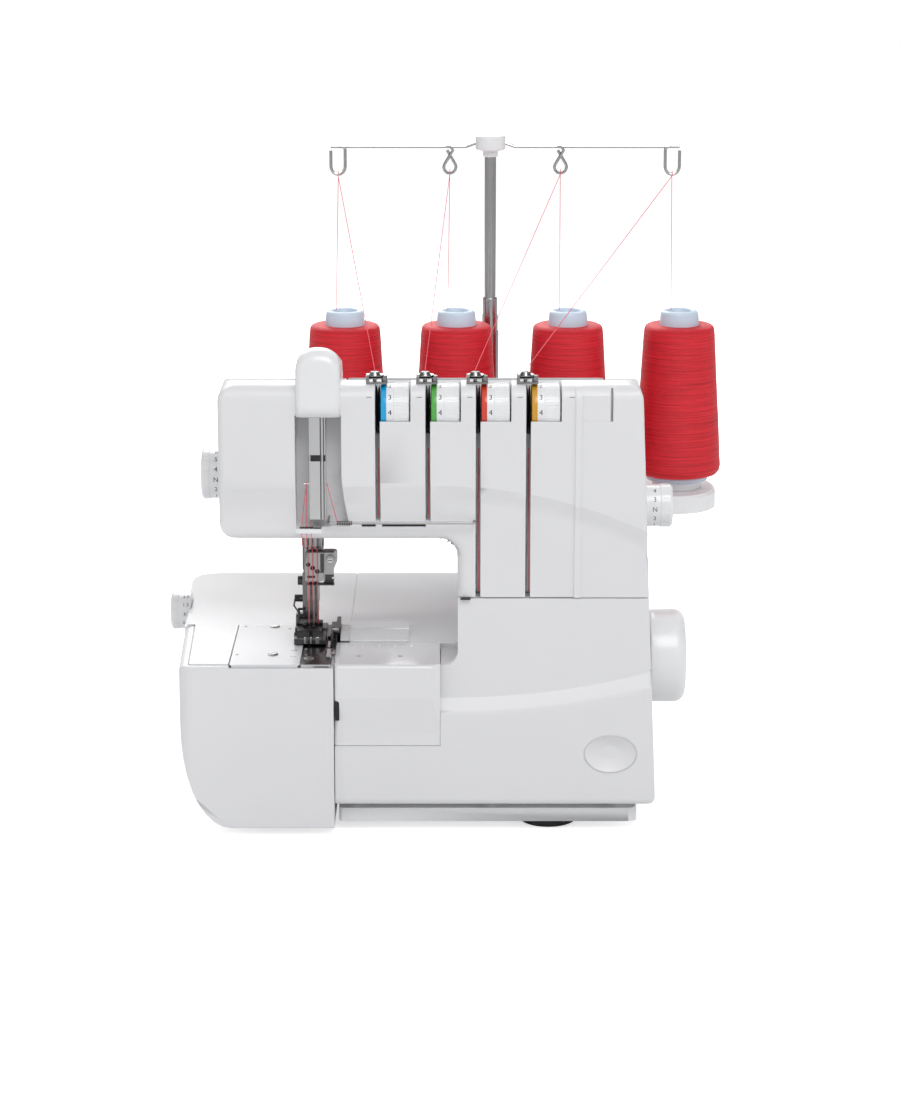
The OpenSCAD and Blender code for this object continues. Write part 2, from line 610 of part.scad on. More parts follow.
module dished_disc(r) rotate_extrude()
  polygon([[0, 0], [r * 0.45, 0.1], [r, 1.3], [r, 1.8], [r * 0.45, 0.9], [0, 0.8]]);

module pretension_guides() placed() color("silver")
  for (x = slots) translate([x - 1.8, 17, arm_top]) {
    // bent bracket
    block(-5.5, 8, -5, 5, 0, 1);
    block(-5.5, -3.5, -5, 5, 0, 5);
    // two dished discs on a post, with a nut
    translate([0, 0, 1]) cylinder(h = 5.6, r = 1.2);
    translate([0, 0, 3.2]) mirror([0, 0, 1]) translate([0, 0, -1.8]) dished_disc(5.6);
    translate([0, 0, 3.4]) dished_disc(5.6);
    translate([0, 0, 4.4]) cylinder(h = 2.6, r1 = 4, r2 = 2.6);
    block(-5.5, -0.5, -1.5, 1.5, 4.2, 5);
    translate([6, 0, 1]) cylinder(h = 3.6, r = 1.9);
  }

module tension_units() placed() color("black")
  for (x = slots) {
    x_rod(spindle_radius, x - 4.5, x + dial_width + 5.5, dial_y, dial_z);
    // pack of tension discs inside the slot
    x_turned([[0, -1.2], [14, -1.2], [15, -0.9], [12, -0.25], [6, 0], [12, 0.25], [15, 0.9], [14, 1.2], [0, 1.2]], x, dial_y, dial_z);
  }

// drum with a coloured ring, a number band and a gripping band; it turns on its spindle
module tension_dial(i, ring_colour) placed() {
  x = slots[i] + slot_width / 2 + 0.4;
  translate([x, dial_y, dial_z]) rotate([0, 90, 0]) color(ring_colour)
    difference() {
      rotate_extrude($fn = 72) polygon([[0, 0], [dial_radius - 1, 0], [dial_radius, 1], [dial_radius, 3.6], [dial_radius - 0.4, 3.8],
        [dial_radius - 0.4, dial_width - 0.8], [dial_radius - 1.2, dial_width], [0, dial_width]]);
      translate([0, 0, -cut]) cylinder(h = dial_width + 2 * cut, r = spindle_radius + fit);
    }
}
module tension_dial_1() tension_dial(0, "deepskyblue");
module tension_dial_2() tension_dial(1, "limegreen");
module tension_dial_3() tension_dial(2, "orangered");
module tension_dial_4() tension_dial(3, "goldenrod");

// ---------- needle end ----------

module needle_bar() placed() color("silver") {
  z_rod(needle_bar_radius, arm_bottom - 18.6, arm_top - 34, needle_x, needle_y);
  z_rod(needle_bar_radius + 2, arm_bottom + 22, arm_bottom + 32, needle_x, needle_y);
}

module needle_clamp() placed() color("silver") {
  difference() {
    front_prism(rounded([[needle_x - 6, arm_bottom - 40, 0.8], [needle_x + 6, arm_bottom - 40, 0.8],
                         [needle_x + 6, arm_bottom - 18.6, 1], [needle_x - 4, arm_bottom - 18.6, 3], [needle_x - 6, arm_bottom - 30, 2]]),
      needle_y - 7, needle_y + 5);
    for (i = [0:2]) y_rod(1.5, needle_y - 9, needle_y - 3, needle_x - 4 + i * 3, arm_bottom - 29 - i * 2.2);
  }
  // thread guide arm on the right with its clamping screw
  front_prism(rounded([[needle_x + 6, arm_bottom - 42, 0.6], [needle_x + 12.6, arm_bottom - 42, 0.6], [needle_x + 12.6, arm_bottom - 33, 1],
                       [needle_x + 15, arm_bottom - 27, 2], [needle_x + 15, arm_bottom - 20, 2], [needle_x + 6, arm_bottom - 20, 1]]),
    needle_y - 4, needle_y + 1);
  y_rod(2.8, needle_y - 7, needle_y - 4, needle_x + 10.4, arm_bottom - 26);
  block(needle_x - 5, needle_x + 13, needle_y - 9.4, needle_y - 4, arm_bottom - 20.4, arm_bottom - 19.4);
  block(needle_x - 5, needle_x + 13, needle_y - 9.4, needle_y - 4, arm_bottom - 42.4, arm_bottom - 41.6);
}

module needles() placed() color("silver")
  for (i = [0:2]) translate([needle_x - 4 + i * 3, needle_y, 0]) {
    z_turned([[0, bed_top + 3], [0.4, bed_top + 6], [0.5, bed_top + 10], [0.5, arm_bottom - 56], [1, arm_bottom - 54],
              [1, arm_bottom - 40], [0, arm_bottom - 40]], 0, 0, 0);
  }

module presser_bar() placed() color("dimgray") {
  z_rod(presser_bar_radius, bed_top + 40, arm_top - 40, presser_x, needle_y + 10);
  z_rod(presser_bar_radius + 1.8, arm_bottom + 30, arm_bottom + 40, presser_x, needle_y + 10);
  // foot holder and its screw
  front_prism(rounded([[presser_x - 4, bed_top + 14, 1], [presser_x + 6.6, bed_top + 14, 1], [presser_x + 6.6, bed_top + 43, 2],
                       [presser_x - 4, bed_top + 43, 2]]), needle_y + 6.4, needle_y + 14);
  x_rod(3, presser_x - 7.2, presser_x - 4, needle_y + 10, bed_top + 36);
  // small spring and foot lever beside the holder
  x_rod(2.4, presser_x - 9.4, presser_x - 4, needle_y + 10, bed_top + 24);
  wire([[presser_x - 9, needle_y + 9, bed_top + 24], [presser_x - 9.8, needle_y + 6, bed_top + 20], [presser_x - 6, needle_y + 4, bed_top + 15],
        [presser_x - 7, needle_y + 2, bed_top + 9.2]], 0.6, [0, 1, 0.3], 6);
}

module presser_foot() placed() color("silver")
  difference() {
    union() {
      side_prism(rounded([[needle_y - 22, bed_top + 1.2, 0.4], [needle_y - 22, bed_top + 5, 1], [needle_y - 17, bed_top + 9, 2],
        [needle_y + 2, bed_top + 8, 2], [needle_y + 6, bed_top + 13.8, 0.6], [needle_y + 14, bed_top + 13.8, 1],
        [needle_y + 18, bed_top + 4, 1], [needle_y + 24, bed_top + 3.2, 1], [needle_y + 24, bed_top + 1.2, 0.4]]),
        needle_x - 13, needle_x + 7.6);
    }
    // slot of the needles, gaps between the toes, sides cut back above the sole
    block(needle_x - 5.6, needle_x + 4.6, needle_y - 3, needle_y + 3, bed_top, bed_top + 20);
    block(needle_x - 3.2, needle_x - 1, needle_y - 23, needle_y - 12, bed_top, bed_top + 20);
    block(needle_x + 4.8, needle_x + 9, needle_y - 23, needle_y + 4, bed_top + 4, bed_top + 20);
    block(needle_x - 14, needle_x - 11.2, needle_y - 23, needle_y - 8, bed_top + 5, bed_top + 20);
    block(needle_x + 1, needle_x + 9, needle_y + 4, needle_y + 30, bed_top + 5, bed_top + 20);
  }

module presser_lifter() placed() color("dimgray") {
  x = needle_x - 7;
  z = arm_bottom + 14;
  y_rod(3, arm_back - 20, arm_back + 8, x, z);
  front_prism(rounded([[x - 7, z - 7, 6.9], [x + 7, z - 7, 6.9], [x + 7, z + 7, 6.9], [x - 7, z + 7, 6.9]]), arm_back + 0.5, arm_back + 6);
  front_prism(rounded([[x - 5, z, 0], [x - 4, z - 42, 3.9], [x + 4, z - 42, 3.9], [x + 5, z, 0]]), arm_back + 1, arm_back + 5.5);
}

module feed_dogs() placed() color("silver") {
  for (x = [needle_x - 5.8, needle_x + 2.4])
    for (run = [[needle_y - 15, needle_y - 7.5], [needle_y + 7.5, needle_y + 22]])
      side_prism(concat([[run[1], bed_top - 7]], [[run[0], bed_top - 7]],
        [for (y = [run[0]:1.5:run[1] - 1.4]) each [[y, bed_top + 0.9], [y + 0.8, bed_top + 0.2]]], [[run[1], bed_top + 0.2]]), x, x + 2.2);
  // plate that joins the rows, with a window for the needles
  difference() {
    block(needle_x - 5.8, needle_x + 4.6, needle_y - 15, needle_y + 22, bed_top - 9.5, bed_top - 7);
    block(needle_x - 5, needle_x + 3.2, needle_y - 4.6, needle_y + 4.6, bed_top - 12, bed_top);
  }
  block(needle_x - 3, needle_x + 2, needle_y + 10, needle_y + 20, bed_top - 30, bed_top - 9.5);
}

module take_up_lever() placed() color("silver") {
  difference() {
    side_prism(rounded([
      [lever_y - 4, lever_z - 6, 3.5], [lever_y + 4, lever_z - 6, 3.5], [lever_y + 3, lever_z + 6, 2],
      [14, arm_top + 4.4, 2.5], [9, arm_top + 2, 2.5], [lever_y - 6, lever_z + 2, 3]]), dome_x - 1.2, dome_x + 1.2);
    x_rod(0.9, dome_x - 4, dome_x + 4, 13.5, arm_top + 1.2);
  }
  x_rod(lever_pin_radius, needle_x - 20, needle_x + 19, lever_y, lever_z);
}

module sewing_lamp() placed() color("lightyellow")
  side_prism(rounded([[52, arm_bottom, 0], [54, arm_bottom - 2.4, 1.4], [72, arm_bottom - 2.4, 1.4], [74, arm_bottom, 0]]), -62, -30);

module upper_looper() placed() color("silver")
  difference() {
    front_prism(rounded([[-27, 80, 4], [-17, 78, 4], [-16, 90, 5], [-40, 104, 4], [-62, 106.5, 3], [-73, bed_top - 5, 0.4],
      [-74.6, bed_top - 5, 0.2], [-66, 102, 3], [-44, 98, 6]]), 48, 51);
    y_rod(4 + fit, 40, 60, -22, 84);
  }

module lower_looper() placed() color("silver")
  difference() {
    union() {
      front_prism(rounded([[-40, 46, 5], [-28, 46, 5], [-28, 60, 5], [-50, 84, 5], [-66, 92, 4], [-92, 99, 1.5], [-100, 101.4, 0.3],
        [-100, 100.4, 0.3], [-92, 95, 2], [-70, 86, 5], [-56, 76, 5], [-40, 58, 5]]), 60.5, 63);
      y_rod(6, 58, 66, -34, 52);
    }
    y_rod(4 + fit, 50, 80, -34, 52);
  }

module upper_knife() placed() color("dimgray") {
  x = plates_right - 1.8;
  // blade, its holder block and the arm down into the bay
  side_prism([[needle_y - 22, bed_top + 2], [needle_y - 22, bed_top + 8.5], [needle_y - 10, bed_top + 8.5], [needle_y - 10, bed_top + 4]], x, x + 1.6);
  block(x, x + 5.6, needle_y - 9.9, needle_y + 6, bed_top + 4.5, bed_top + 9);
  block(x, x + 1.6, needle_y - 10, needle_y - 9.9, bed_top + 4.5, bed_top + 8.5);
  block(x + 3, x + 5.6, needle_y + 6, knife_pivot_y + 4, bed_top + 4.5, bed_top + 9);
  difference() {
    side_prism(rounded([
      [knife_pivot_y - 5, knife_pivot_z - 5, 4.9], [knife_pivot_y + 5, knife_pivot_z - 5, 4.9],
      [knife_pivot_y + 4, bed_top + 8, 0], [knife_pivot_y - 5, bed_top + 8, 0]]), x + 3, x + 5.6);
    x_rod(2.5 + fit, x - 9, x + 9, knife_pivot_y, knife_pivot_z);
  }
}

module finger_lever() placed() color("silver")
  plan_prism(rounded([
    [plates_right - 3.5, 14, 0.4], [plates_right - 0.4, 14, 0.4], [plates_right, 24, 0.4], [bay_left - 0.2, 26, 0.5],
    [bay_left - 0.2, 31, 1.2], [plates_right, 32.5, 0.6], [plates_right - 3.5, 32.5, 0.4]]), plate_z + 0.3, plate_z + 1.5);

// ---------- dials and handwheel ----------

module handwheel() placed() color("white")
  x_turned(concat(
      [[shaft_radius, 0], [shaft_radius, wheel_width - 6], [0.01, wheel_width - 6], [0.01, wheel_width - 1], [12, wheel_width - 1], [20, wheel_width]],
      corner_arc([20, wheel_width], [wheel_radius, wheel_width - 1], [wheel_radius, 4], 7, 5),
      corner_arc([wheel_radius, 9], [wheel_radius - 0.4, 0], [20, 0], 2, 3),
      [[wheel_radius - 5, 0], [wheel_radius - 5, wheel_width - 10], [11, wheel_width - 8], [11, 0]]),
    side_x(wheel_z) + 3, wheel_y, wheel_z);

module main_shaft() placed() color("silver") {
  x_rod(shaft_radius, 42, side_x(wheel_z) + wheel_width - 3, wheel_y, wheel_z);
}

// knob on its spindle: number band near the machine, gripping band outside
module side_dial(x, y, z, length, r, direction) translate([x, y, z]) rotate([0, direction * 90, 0]) {
  difference() {
    rotate_extrude() polygon([[0, 0], [r - 0.4, 0], [r - 0.4, length * 0.62], [r, length * 0.64], [r, length - 1.6],
      [r - 1.6, length], [0, length]]);
    for (a = [0:12:348]) rotate(a) translate([r, 0, length * 0.68]) cylinder(h = length, r = 0.3, $fn = 6);
  }
  translate([0, 0, -20]) cylinder(h = 20 + cut, r = side_spindle_radius);
}

module length_dial() placed() color("white") side_dial(side_x(length_z) + 1.2, 110, length_z, 21.5, length_dial_radius, 1);
module pressure_dial() placed() color("white") side_dial(arm_left - 0.6, 70, pressure_z, 14.6, pressure_dial_radius, -1);
module feed_dial() placed() color("white") side_dial(bed_left_at(150) - 1, 150, bed_top - 4.4, 13.8, feed_dial_radius, -1);

// ---------- opening front cover ----------

cover_view = [
  [bay_left, pan_top, 2], [side_x(pan_top), pan_top, 6], [side_x(seam_z), seam_z, 0.8], [column_left, seam_z, 1],
  [column_left, bed_top - 3, 10], [bay_left, bed_top - 3, 0.5]
];
cover_view_inside = [
  [bay_left + wall, pan_top + wall, 1], [side_x(pan_top) - wall, pan_top + wall, 3], [side_x(seam_z) - wall, seam_z - wall, 0.5],
  [column_left + wall, seam_z - wall, 0.5], [column_left + wall, bed_top - 3 - wall, 13], [bay_left + wall, bed_top - 3 - wall, 0.3]
];

// everything above the ledge that sweeps up to the right
module above_sweep(front, back, grow) {
  translate([0, back, sweep_low + sweep_radius]) rotate([90, 0, 0])
    cylinder(h = back - front, r1 = sweep_radius + grow, r2 = sweep_radius + 9 + grow, $fn = 360);
}

side_table_left = bay_left;
side_table_right = bay_left + 67.5;
side_table_bottom = bed_top - 54.7;

module front_cover() placed() color(white) {
  difference() {
    intersection() {
      front_prism(rounded(cover_view), cover_front, cover_back);
      side_prism(rounded([[cover_front, pan_top, 5], [cover_front, seam_z, 0], [cover_back, seam_z, 0], [cover_back, pan_top, 0]]),
        bay_left - 9, base_right + 9);
    }
    // the upper part stands back behind the ledge
    above_sweep(cover_front - 0.01, low_face_y, 0);
    // hollow back
    difference() {
      front_prism(rounded(cover_view_inside), cover_front + wall, cover_back + cut);
      above_sweep(cover_front + wall - 0.01, low_face_y + wall, 3);
      front_prism(ellipse_points(103, 54.6, thumb_length / 2 + 2, thumb_height / 2 + 2), cover_front, cover_front + 7);
    }
    front_prism(ellipse_points(103, 54.6, thumb_length / 2, thumb_height / 2), cover_front - cut, cover_front + 4.6);
    // seat of the side table
    block(side_table_left - cut, side_table_right + 0.2, cover_front - cut, cover_front + 1.8, side_table_bottom - 0.2, bed_top + cut);
    for (x = [bay_left + 12, 24, base_right - 26])
      block(x - 1 - cover_release, x + 13, cover_front + wall, cover_back + cut, pan_top - cut, hinge_z + 6);
  }
  // hinge lugs
  for (x = [bay_left + 20, 32, base_right - 18])
    difference() {
      union() {
        x_rod(4, x, x + 6, hinge_y, hinge_z);
        block(x, x + 6, cover_front + wall - 0.5, hinge_y, hinge_z - 3, hinge_z + 3.8);
      }
      x_rod(hinge_radius + fit, x - cut, x + 6 + cut, hinge_y, hinge_z);
    }
}

module hinge_shaft() placed() color("silver")
  x_rod(hinge_radius, bay_left + 8, base_right - 10, hinge_y, hinge_z);

// small work surface right of the needle plate, screwed to the cover
module side_table() placed() color("white") {
  step = 5;
  difference() {
    union() {
      block(side_table_left, side_table_right, cover_front, cover_front + 1.8, side_table_bottom, bed_top - wall);
      difference() {
        side_prism(rounded([[0, bed_top - 22, 3], [0, bed_top, 3], [needle_y - 12.6, bed_top, 0.5], [needle_y - 12.6, bed_top - wall, 0],
          [cover_front + 1.8, bed_top - wall, 0], [cover_front + 1.8, side_table_bottom + 8, 0], [cover_front, side_table_bottom + 8, 0]]),
          side_table_left, side_table_right);
        // bevelled right end
        plan_prism([[side_table_right - step, -cut], [side_table_right + 9, -cut], [side_table_right + 9, cover_front + 0.01],
          [side_table_right, cover_front + 0.01], [side_table_right - step, -0.01]], side_table_bottom - cut, bed_top + cut);
      }
      // gussets under the table
      for (x = [side_table_left + 6, side_table_right - 9])
        side_prism([[cover_back + 0.5, bed_top - wall + 0.01], [needle_y - 16, bed_top - wall + 0.01], [cover_back + 0.5, bed_top - 14]], x, x + 2.5);
    }
  }
}

module accessory_box() placed() color(white)
  difference() {
    flared() intersection() {
      front_prism(free_end(0, foot_height - 0.8, bed_top - 1, bay_left + 6), 0, box_back);
      plan_prism(rounded([[bed_left - 3.7, 0, 9], [bay_left + 9, 0, 0], [bay_left + 9, box_back, 0],
        [bed_left - 3.7, box_back, 0]]), -cut, bed_top + cut);
    }
    block(bay_left - 0.5, bay_left + 20, -cut, box_back + cut, -cut, bed_top + cut);
    // inside of the storage box, open at the top
    front_prism(free_end(wall, foot_height + 2.2, bed_top - 1 - wall, bay_left - wall - 0.5), wall, box_back - wall);
    // the free end of the bed and its plates pass over the box
    block(plates_left - gap, bay_left + 9, -cut, box_back + cut, plate_z - plate_thickness - gap, bed_top + cut);
    plan_prism(free_end_plan(gap, bay_left + 9), arm_floor - gap, bed_top + cut);
  }

// ---------- thread stand ----------

module spool_stand() placed() color("white") {
  x0 = cones[0] - 29.6;
  x1 = cones[3] + 27.2;
  difference() {
    union() {
      plan_prism(rounded([[x0, column_back, 30], [x1, column_back, 30], [x1, machine_depth, 30], [x0, machine_depth, 30]], 8), stand_bottom, stand_top - 1.5);
      plan_prism(rounded([[x0 + 2, column_back, 29], [x1 - 2, column_back, 29], [x1 - 2, machine_depth - 2, 29], [x0 + 2, machine_depth - 2, 29]], 8),
        stand_bottom, stand_top);
      // bracket on the back of the column
      for (x = [column_left + 14, column_left + 60, column_left + 106])
        side_prism([[column_back, stand_bottom + 0.01], [column_back + 40, stand_bottom + 0.01], [column_back, seam_z - 22]], x, x + 5);
      block(column_left + 14, column_left + 111, column_back, column_back + 3, seam_z - 26, stand_bottom + 0.01);
    }
    for (x = cones) z_rod(pin_radius, stand_bottom + 3, stand_top + cut, x, cone_y);
    z_rod(mast_tube_radius, stand_bottom + 3, stand_top + cut, mast_x, mast_y);
  }
}

module spool_pins() placed() color("whitesmoke")
  for (x = cones)
    z_turned([[0, stand_bottom + 3], [pin_radius, stand_bottom + 3], [pin_radius, cone_top - 8], [pin_radius - 1.5, cone_top - 4],
      [0, cone_top - 4]], x, cone_y, 0);

module cone_holders() placed() color("white")
  for (x = cones)
    z_turned([[pin_radius, stand_top], [17, stand_top], [17.4, stand_top + 1], [17.4, stand_top + 5], [16.5, stand_top + 6],
      [14, stand_top + 6], [12, stand_top + 20], [pin_radius, stand_top + 22]], x, cone_y, 0);

// cone of wound thread on its hollow tapered core, which turns on the pin
module thread_cone(i) placed() color("crimson") {
  x = cones[i];
  z_turned(rounded([[15, stand_top + 6.3, 0], [21.5, stand_top + 6.3, 0], [21, cone_bottom, 0], [cone_radius - 5, cone_bottom, 0],
    [cone_radius, cone_bottom + 6, 4], [cone_top_radius + 1, cone_top - 2, 2], [cone_top_radius - 2, cone_top, 1],
    [14, cone_top, 0], [13, core_top - 1, 0], [12, core_top, 0], [pin_radius + 3, core_top, 0],
    [pin_radius + fit, core_top - 1.2, 0], [pin_radius + fit, core_top - 14, 0], [pin_radius + 3, core_top - 14, 0],
    [pin_radius + 3, core_top - 4, 0], [10.5, core_top - 4, 0]], 3), x, cone_y, 0);
}
module thread_cone_1() thread_cone(0);
module thread_cone_2() thread_cone(1);
module thread_cone_3() thread_cone(2);
module thread_cone_4() thread_cone(3);

module mast_lower_tube() placed() color("silver")
  difference() {
    z_turned([[0, stand_bottom + 3], [mast_tube_radius, stand_bottom + 3], [mast_tube_radius, mast_joint - 24],
      [mast_tube_radius - 0.6, mast_joint - 24], [mast_tube_radius - 0.6, mast_joint - 12], [mast_tube_radius - 1, mast_joint - 12],
      [mast_tube_radius - 1, mast_joint - 0.6], [mast_tube_radius - 1.4, mast_joint], [0, mast_joint]], mast_x, mast_y, 0);
    z_rod(mast_radius + fit, stand_bottom + 5, mast_joint + cut, mast_x, mast_y);
  }

module mast_slide_tube() placed() color("silver")
  z_rod(mast_radius, mast_joint - 34, guide_height - 7, mast_x, mast_y);

module mast_cap() placed() color("white")
  difference() {
    z_turned(concat([[mast_radius, -7], [5, -7], [5.2, -3.4]], rounded([[10.3, -3.4, 0.8], [10.3, 1.9, 0], [10.3, 8, 1.6], [0, 9, 0]], 3),
      [[0, 1], [mast_radius, 1]]), mast_x, mast_y, guide_height);
    block(mast_x - 20, mast_x + 20, mast_y - wire_radius - fit, mast_y + wire_radius + fit, guide_height + 0.7, guide_height + 3.8 + wire_radius);
  }

// end loop of the guide wire: down, round and up again
function loop_path(x, side) = let (z = guide_height, r = 5)
  concat([[x + side * r, mast_y, z]], [for (a = [90:22.5:180]) [x + side * (r + (r / 2) * cos(a)) - side * r * 1.5, mast_y, z - r / 2 + (r / 2) * sin(a)]],
    [for (a = [180:22.5:360]) [x + side * r * cos(a), mast_y, z - 14 + r * 1.1 * sin(a)]], [[x + side * r, mast_y, z - wire_radius * 2.4]]);

// twisted eye: the wire crosses itself under the bar
function eye_path(x) = let (z = guide_height)
  concat([[x - 3, mast_y, z], [x + 0.4, mast_y - 0.4, z - 0.2], [x + 2.2, mast_y - 0.9, z - 2.4], [x, mast_y - 1.1, z - 6]],
    [for (a = [150:30:390]) [x + 4.3 * cos(a), mast_y + 1.1 * cos((a - 150) * 0.75 + 180), z - 14.5 + 4.3 * sin(a)]],
    [[x, mast_y + 1.1, z - 6], [x - 2.2, mast_y + 0.9, z - 2.4]]);

module guide_wire() placed() color("silver") {
  z = guide_height;
  left = cones[0] - 5;
  right = cones[3] - 4.6;
  raise = 2.8;
  wire(concat([for (i = [len(loop_path(left, -1)) - 1:-1:0]) loop_path(left, -1)[i]],
    [[cones[1] - 8, mast_y, z]],
    [[mast_x - 17, mast_y, z], [mast_x - 9, mast_y, z + raise], [mast_x + 9, mast_y, z + raise], [mast_x + 17, mast_y, z]],
    [[cones[2] - 8, mast_y, z]],
    loop_path(right, 1)), wire_radius);
  for (x = [cones[1] - 4.6, cones[2] - 5]) wire(eye_path(x), wire_radius, [0, 1, 0.2], 6);
}

// thread from each cone up through its eye and down to its pretension guide
eye_x = [cones[0] - 5, cones[1] - 4.6, cones[2] - 5, cones[3] - 4.6];
module supply_threads() placed() color("red")
  for (i = [0:3]) {
    top = [eye_x[i], mast_y + (i % 3 == 0 ? 0 : 0.4), guide_height - 14 - (i % 3 == 0 ? 5.5 : 4.3) + wire_radius + 1.1];
    wire([[cones[i] - 6, cone_y, core_top + 0.3], [eye_x[i], mast_y + 2.4, top[2] - 3], top], thread_radius, [1, 0.1, 0], 6);
    wire([top + [0, -0.3, 0.2], [eye_x[i], mast_y - 2.4, top[2] - 2.6], [slots[i] - 1.8, 17 + 2.4, arm_top + 7.6]], thread_radius, [1, 0.1, 0], 6);
  }

// threads down the slots, over the guides and down to the needles
module machine_threads() placed() color("red") {
  for (i = [0:3])
    wire([[slots[i] + 0.4, 17, arm_top - 26 - dial_radius], [slots[i] + 0.4, 12, (i < 2 ? arm_bottom + 14 : seam_z + 4)]], thread_radius, [1, 0, 0], 6);
  starts = [[-90.4, 6, arm_bottom + 38], [-90.6, 7, arm_bottom + 38], [-86, 6, arm_bottom + 30]];
  for (i = [0:2])
    wire([starts[i], [guide_x + i * guide_pitch, guide_y, arm_bottom + 10.5],
      [guide_x + i * guide_pitch, guide_y, arm_bottom - 2],
      [needle_x - 4 + i * 3, needle_y - 10, arm_bottom - 18], [needle_x - 4 + i * 3, needle_y - 10, arm_bottom - 43],
      [needle_x - 4 + i * 3, needle_y - 1.2, bed_top + 10]], thread_radius, [1, 0.1, 0], 6);
  // from the long guide wire up to the take-up lever
  wire([[-77.9, 10, arm_bottom + 37], [-71.4, 2.9, arm_bottom + 13.8]], thread_radius, [1, 0.1, 0], 6);
}

// ---------- handle, power ----------

module carry_handle() placed() color("lightgray") {
  y0 = split_y + 1;
  z = handle_pivot_z;
  difference() {
    intersection() {
      plan_prism(rounded([[handle_left, y0, 5], [handle_right, y0, 5], [handle_right, handle_pivot_y + 4, 3.8],
        [handle_left, handle_pivot_y + 4, 3.8]]), z - 10, arm_top);
      side_prism([[y0, top_z(y0) - 3 - handle_thickness], [y0, top_z(y0) + 0.4], [y0 + 14, top_z(y0 + 14) + 0.4], [handle_pivot_y + 4, z + 4],
        [handle_pivot_y + 4, z - 4], [y0 + 16, top_z(y0) - 3 - handle_thickness]], handle_left, handle_right);
    }
    plan_prism(rounded([[handle_left + handle_bar, y0 + handle_bar, 5], [handle_right - handle_bar, y0 + handle_bar, 5],
      [handle_right - handle_bar, handle_pivot_y + 9, 0], [handle_left + handle_bar, handle_pivot_y + 9, 0]]), z - 20, arm_top + cut);
  }
  for (x = [handle_left - 5, handle_right - 1]) x_rod(2.5, x, x + 6, handle_pivot_y, z);
}

module power_inlet() placed() color("black")
  difference() {
    block(base_right - 24, side_x(43) + 1.4, 158, 188, 30, 56);
    block(side_x(43) - 14, side_x(43) + 9, 163, 183, 35, 51);
    for (y = [168, 178]) x_rod(1.2, side_x(43) - 20, side_x(43) - 13, y, 43);
  }

module power_switch() placed() color("black") {
  front_prism([[side_x(71) - 9, 71 - 5], [side_x(71) + 1, 71 - 7.4], [side_x(71) + 0.2, 71], [side_x(71) + 2.2, 71 + 7.4], [side_x(71) - 9, 71 + 5]],
    162.4, 183.6);
}

base_pan();
rubber_feet();
bed_housing();
front_housing();
rear_housing();
cloth_plate();
needle_plate();
machine_screws();
take_up_cover();
take_up_strip();
arm_thread_guides();
pretension_guides();
tension_units();
lower_knife();
looper_guard();
looper_shafts();
spool_stand();
spool_pins();
cone_holders();
mast_lower_tube();
power_inlet();
sewing_lamp();
supply_threads();
machine_threads();
handwheel();
main_shaft();
needle_bar();
needle_clamp();
needles();
take_up_lever();
upper_looper();
lower_looper();
upper_knife();
feed_dogs();
presser_bar();
presser_foot();
presser_lifter();
tension_dial_1();
tension_dial_2();
tension_dial_3();
tension_dial_4();
pressure_dial();
feed_dial();
length_dial();
hinge_shaft();
front_cover();
side_table();
accessory_box();
mast_slide_tube();
mast_cap();
guide_wire();
thread_cone_1();
thread_cone_2();
thread_cone_3();
thread_cone_4();
carry_handle();
power_switch();
finger_lever();
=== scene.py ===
"""Looks of the four-thread overlock machine: finishes, dials, thread cones and small fittings.

Lengths are in millimetres until spot() turns them into metres. Depths count back from the
machine's foremost face, heights from the table, as in the part's own source.
"""
import json
import math

import bmesh
import bpy
from mathutils import Euler, Matrix, Vector
from mathutils.bvhtree import BVHTree
from mathutils.geometry import intersect_point_line


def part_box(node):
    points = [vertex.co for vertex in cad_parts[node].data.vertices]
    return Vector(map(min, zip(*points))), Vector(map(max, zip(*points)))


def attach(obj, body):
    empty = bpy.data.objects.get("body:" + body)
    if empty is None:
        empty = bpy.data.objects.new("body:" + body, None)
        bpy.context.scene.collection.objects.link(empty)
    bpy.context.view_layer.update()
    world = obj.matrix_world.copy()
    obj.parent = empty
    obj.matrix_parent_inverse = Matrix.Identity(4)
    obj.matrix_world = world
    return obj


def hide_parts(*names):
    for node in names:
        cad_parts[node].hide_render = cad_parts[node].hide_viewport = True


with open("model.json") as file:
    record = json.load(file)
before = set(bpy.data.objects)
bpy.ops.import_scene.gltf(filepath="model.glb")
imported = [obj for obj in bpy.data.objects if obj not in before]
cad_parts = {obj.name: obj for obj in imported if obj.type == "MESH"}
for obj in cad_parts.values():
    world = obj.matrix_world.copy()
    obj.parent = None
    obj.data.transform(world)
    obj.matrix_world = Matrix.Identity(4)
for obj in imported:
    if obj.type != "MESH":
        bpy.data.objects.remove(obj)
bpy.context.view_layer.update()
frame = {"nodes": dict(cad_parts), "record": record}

MM = 0.001
HALF_DEPTH = 136.0
BODY_OF = {node: body for body, nodes in frame["record"]["behaviour"]["bodies"].items() for node in nodes}


def spot(x, y, z):
    """Place in metres from x, depth behind the foremost face and height, in millimetres."""
    return Vector((x * MM, (y - HALF_DEPTH) * MM, z * MM))


def node_box(node):
    """Lowest and highest corner of a node, in the millimetres that spot() takes."""
    low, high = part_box(node)
    return [[c[0] / MM, c[1] / MM + HALF_DEPTH, c[2] / MM] for c in (low, high)]


# ---------------------------------------------------------------- finishes


def group_socket(group, name, way, kind, value=None):
    socket = group.interface.new_socket(name=name, in_out=way, socket_type=kind)
    if value is not None:
        socket.default_value = value


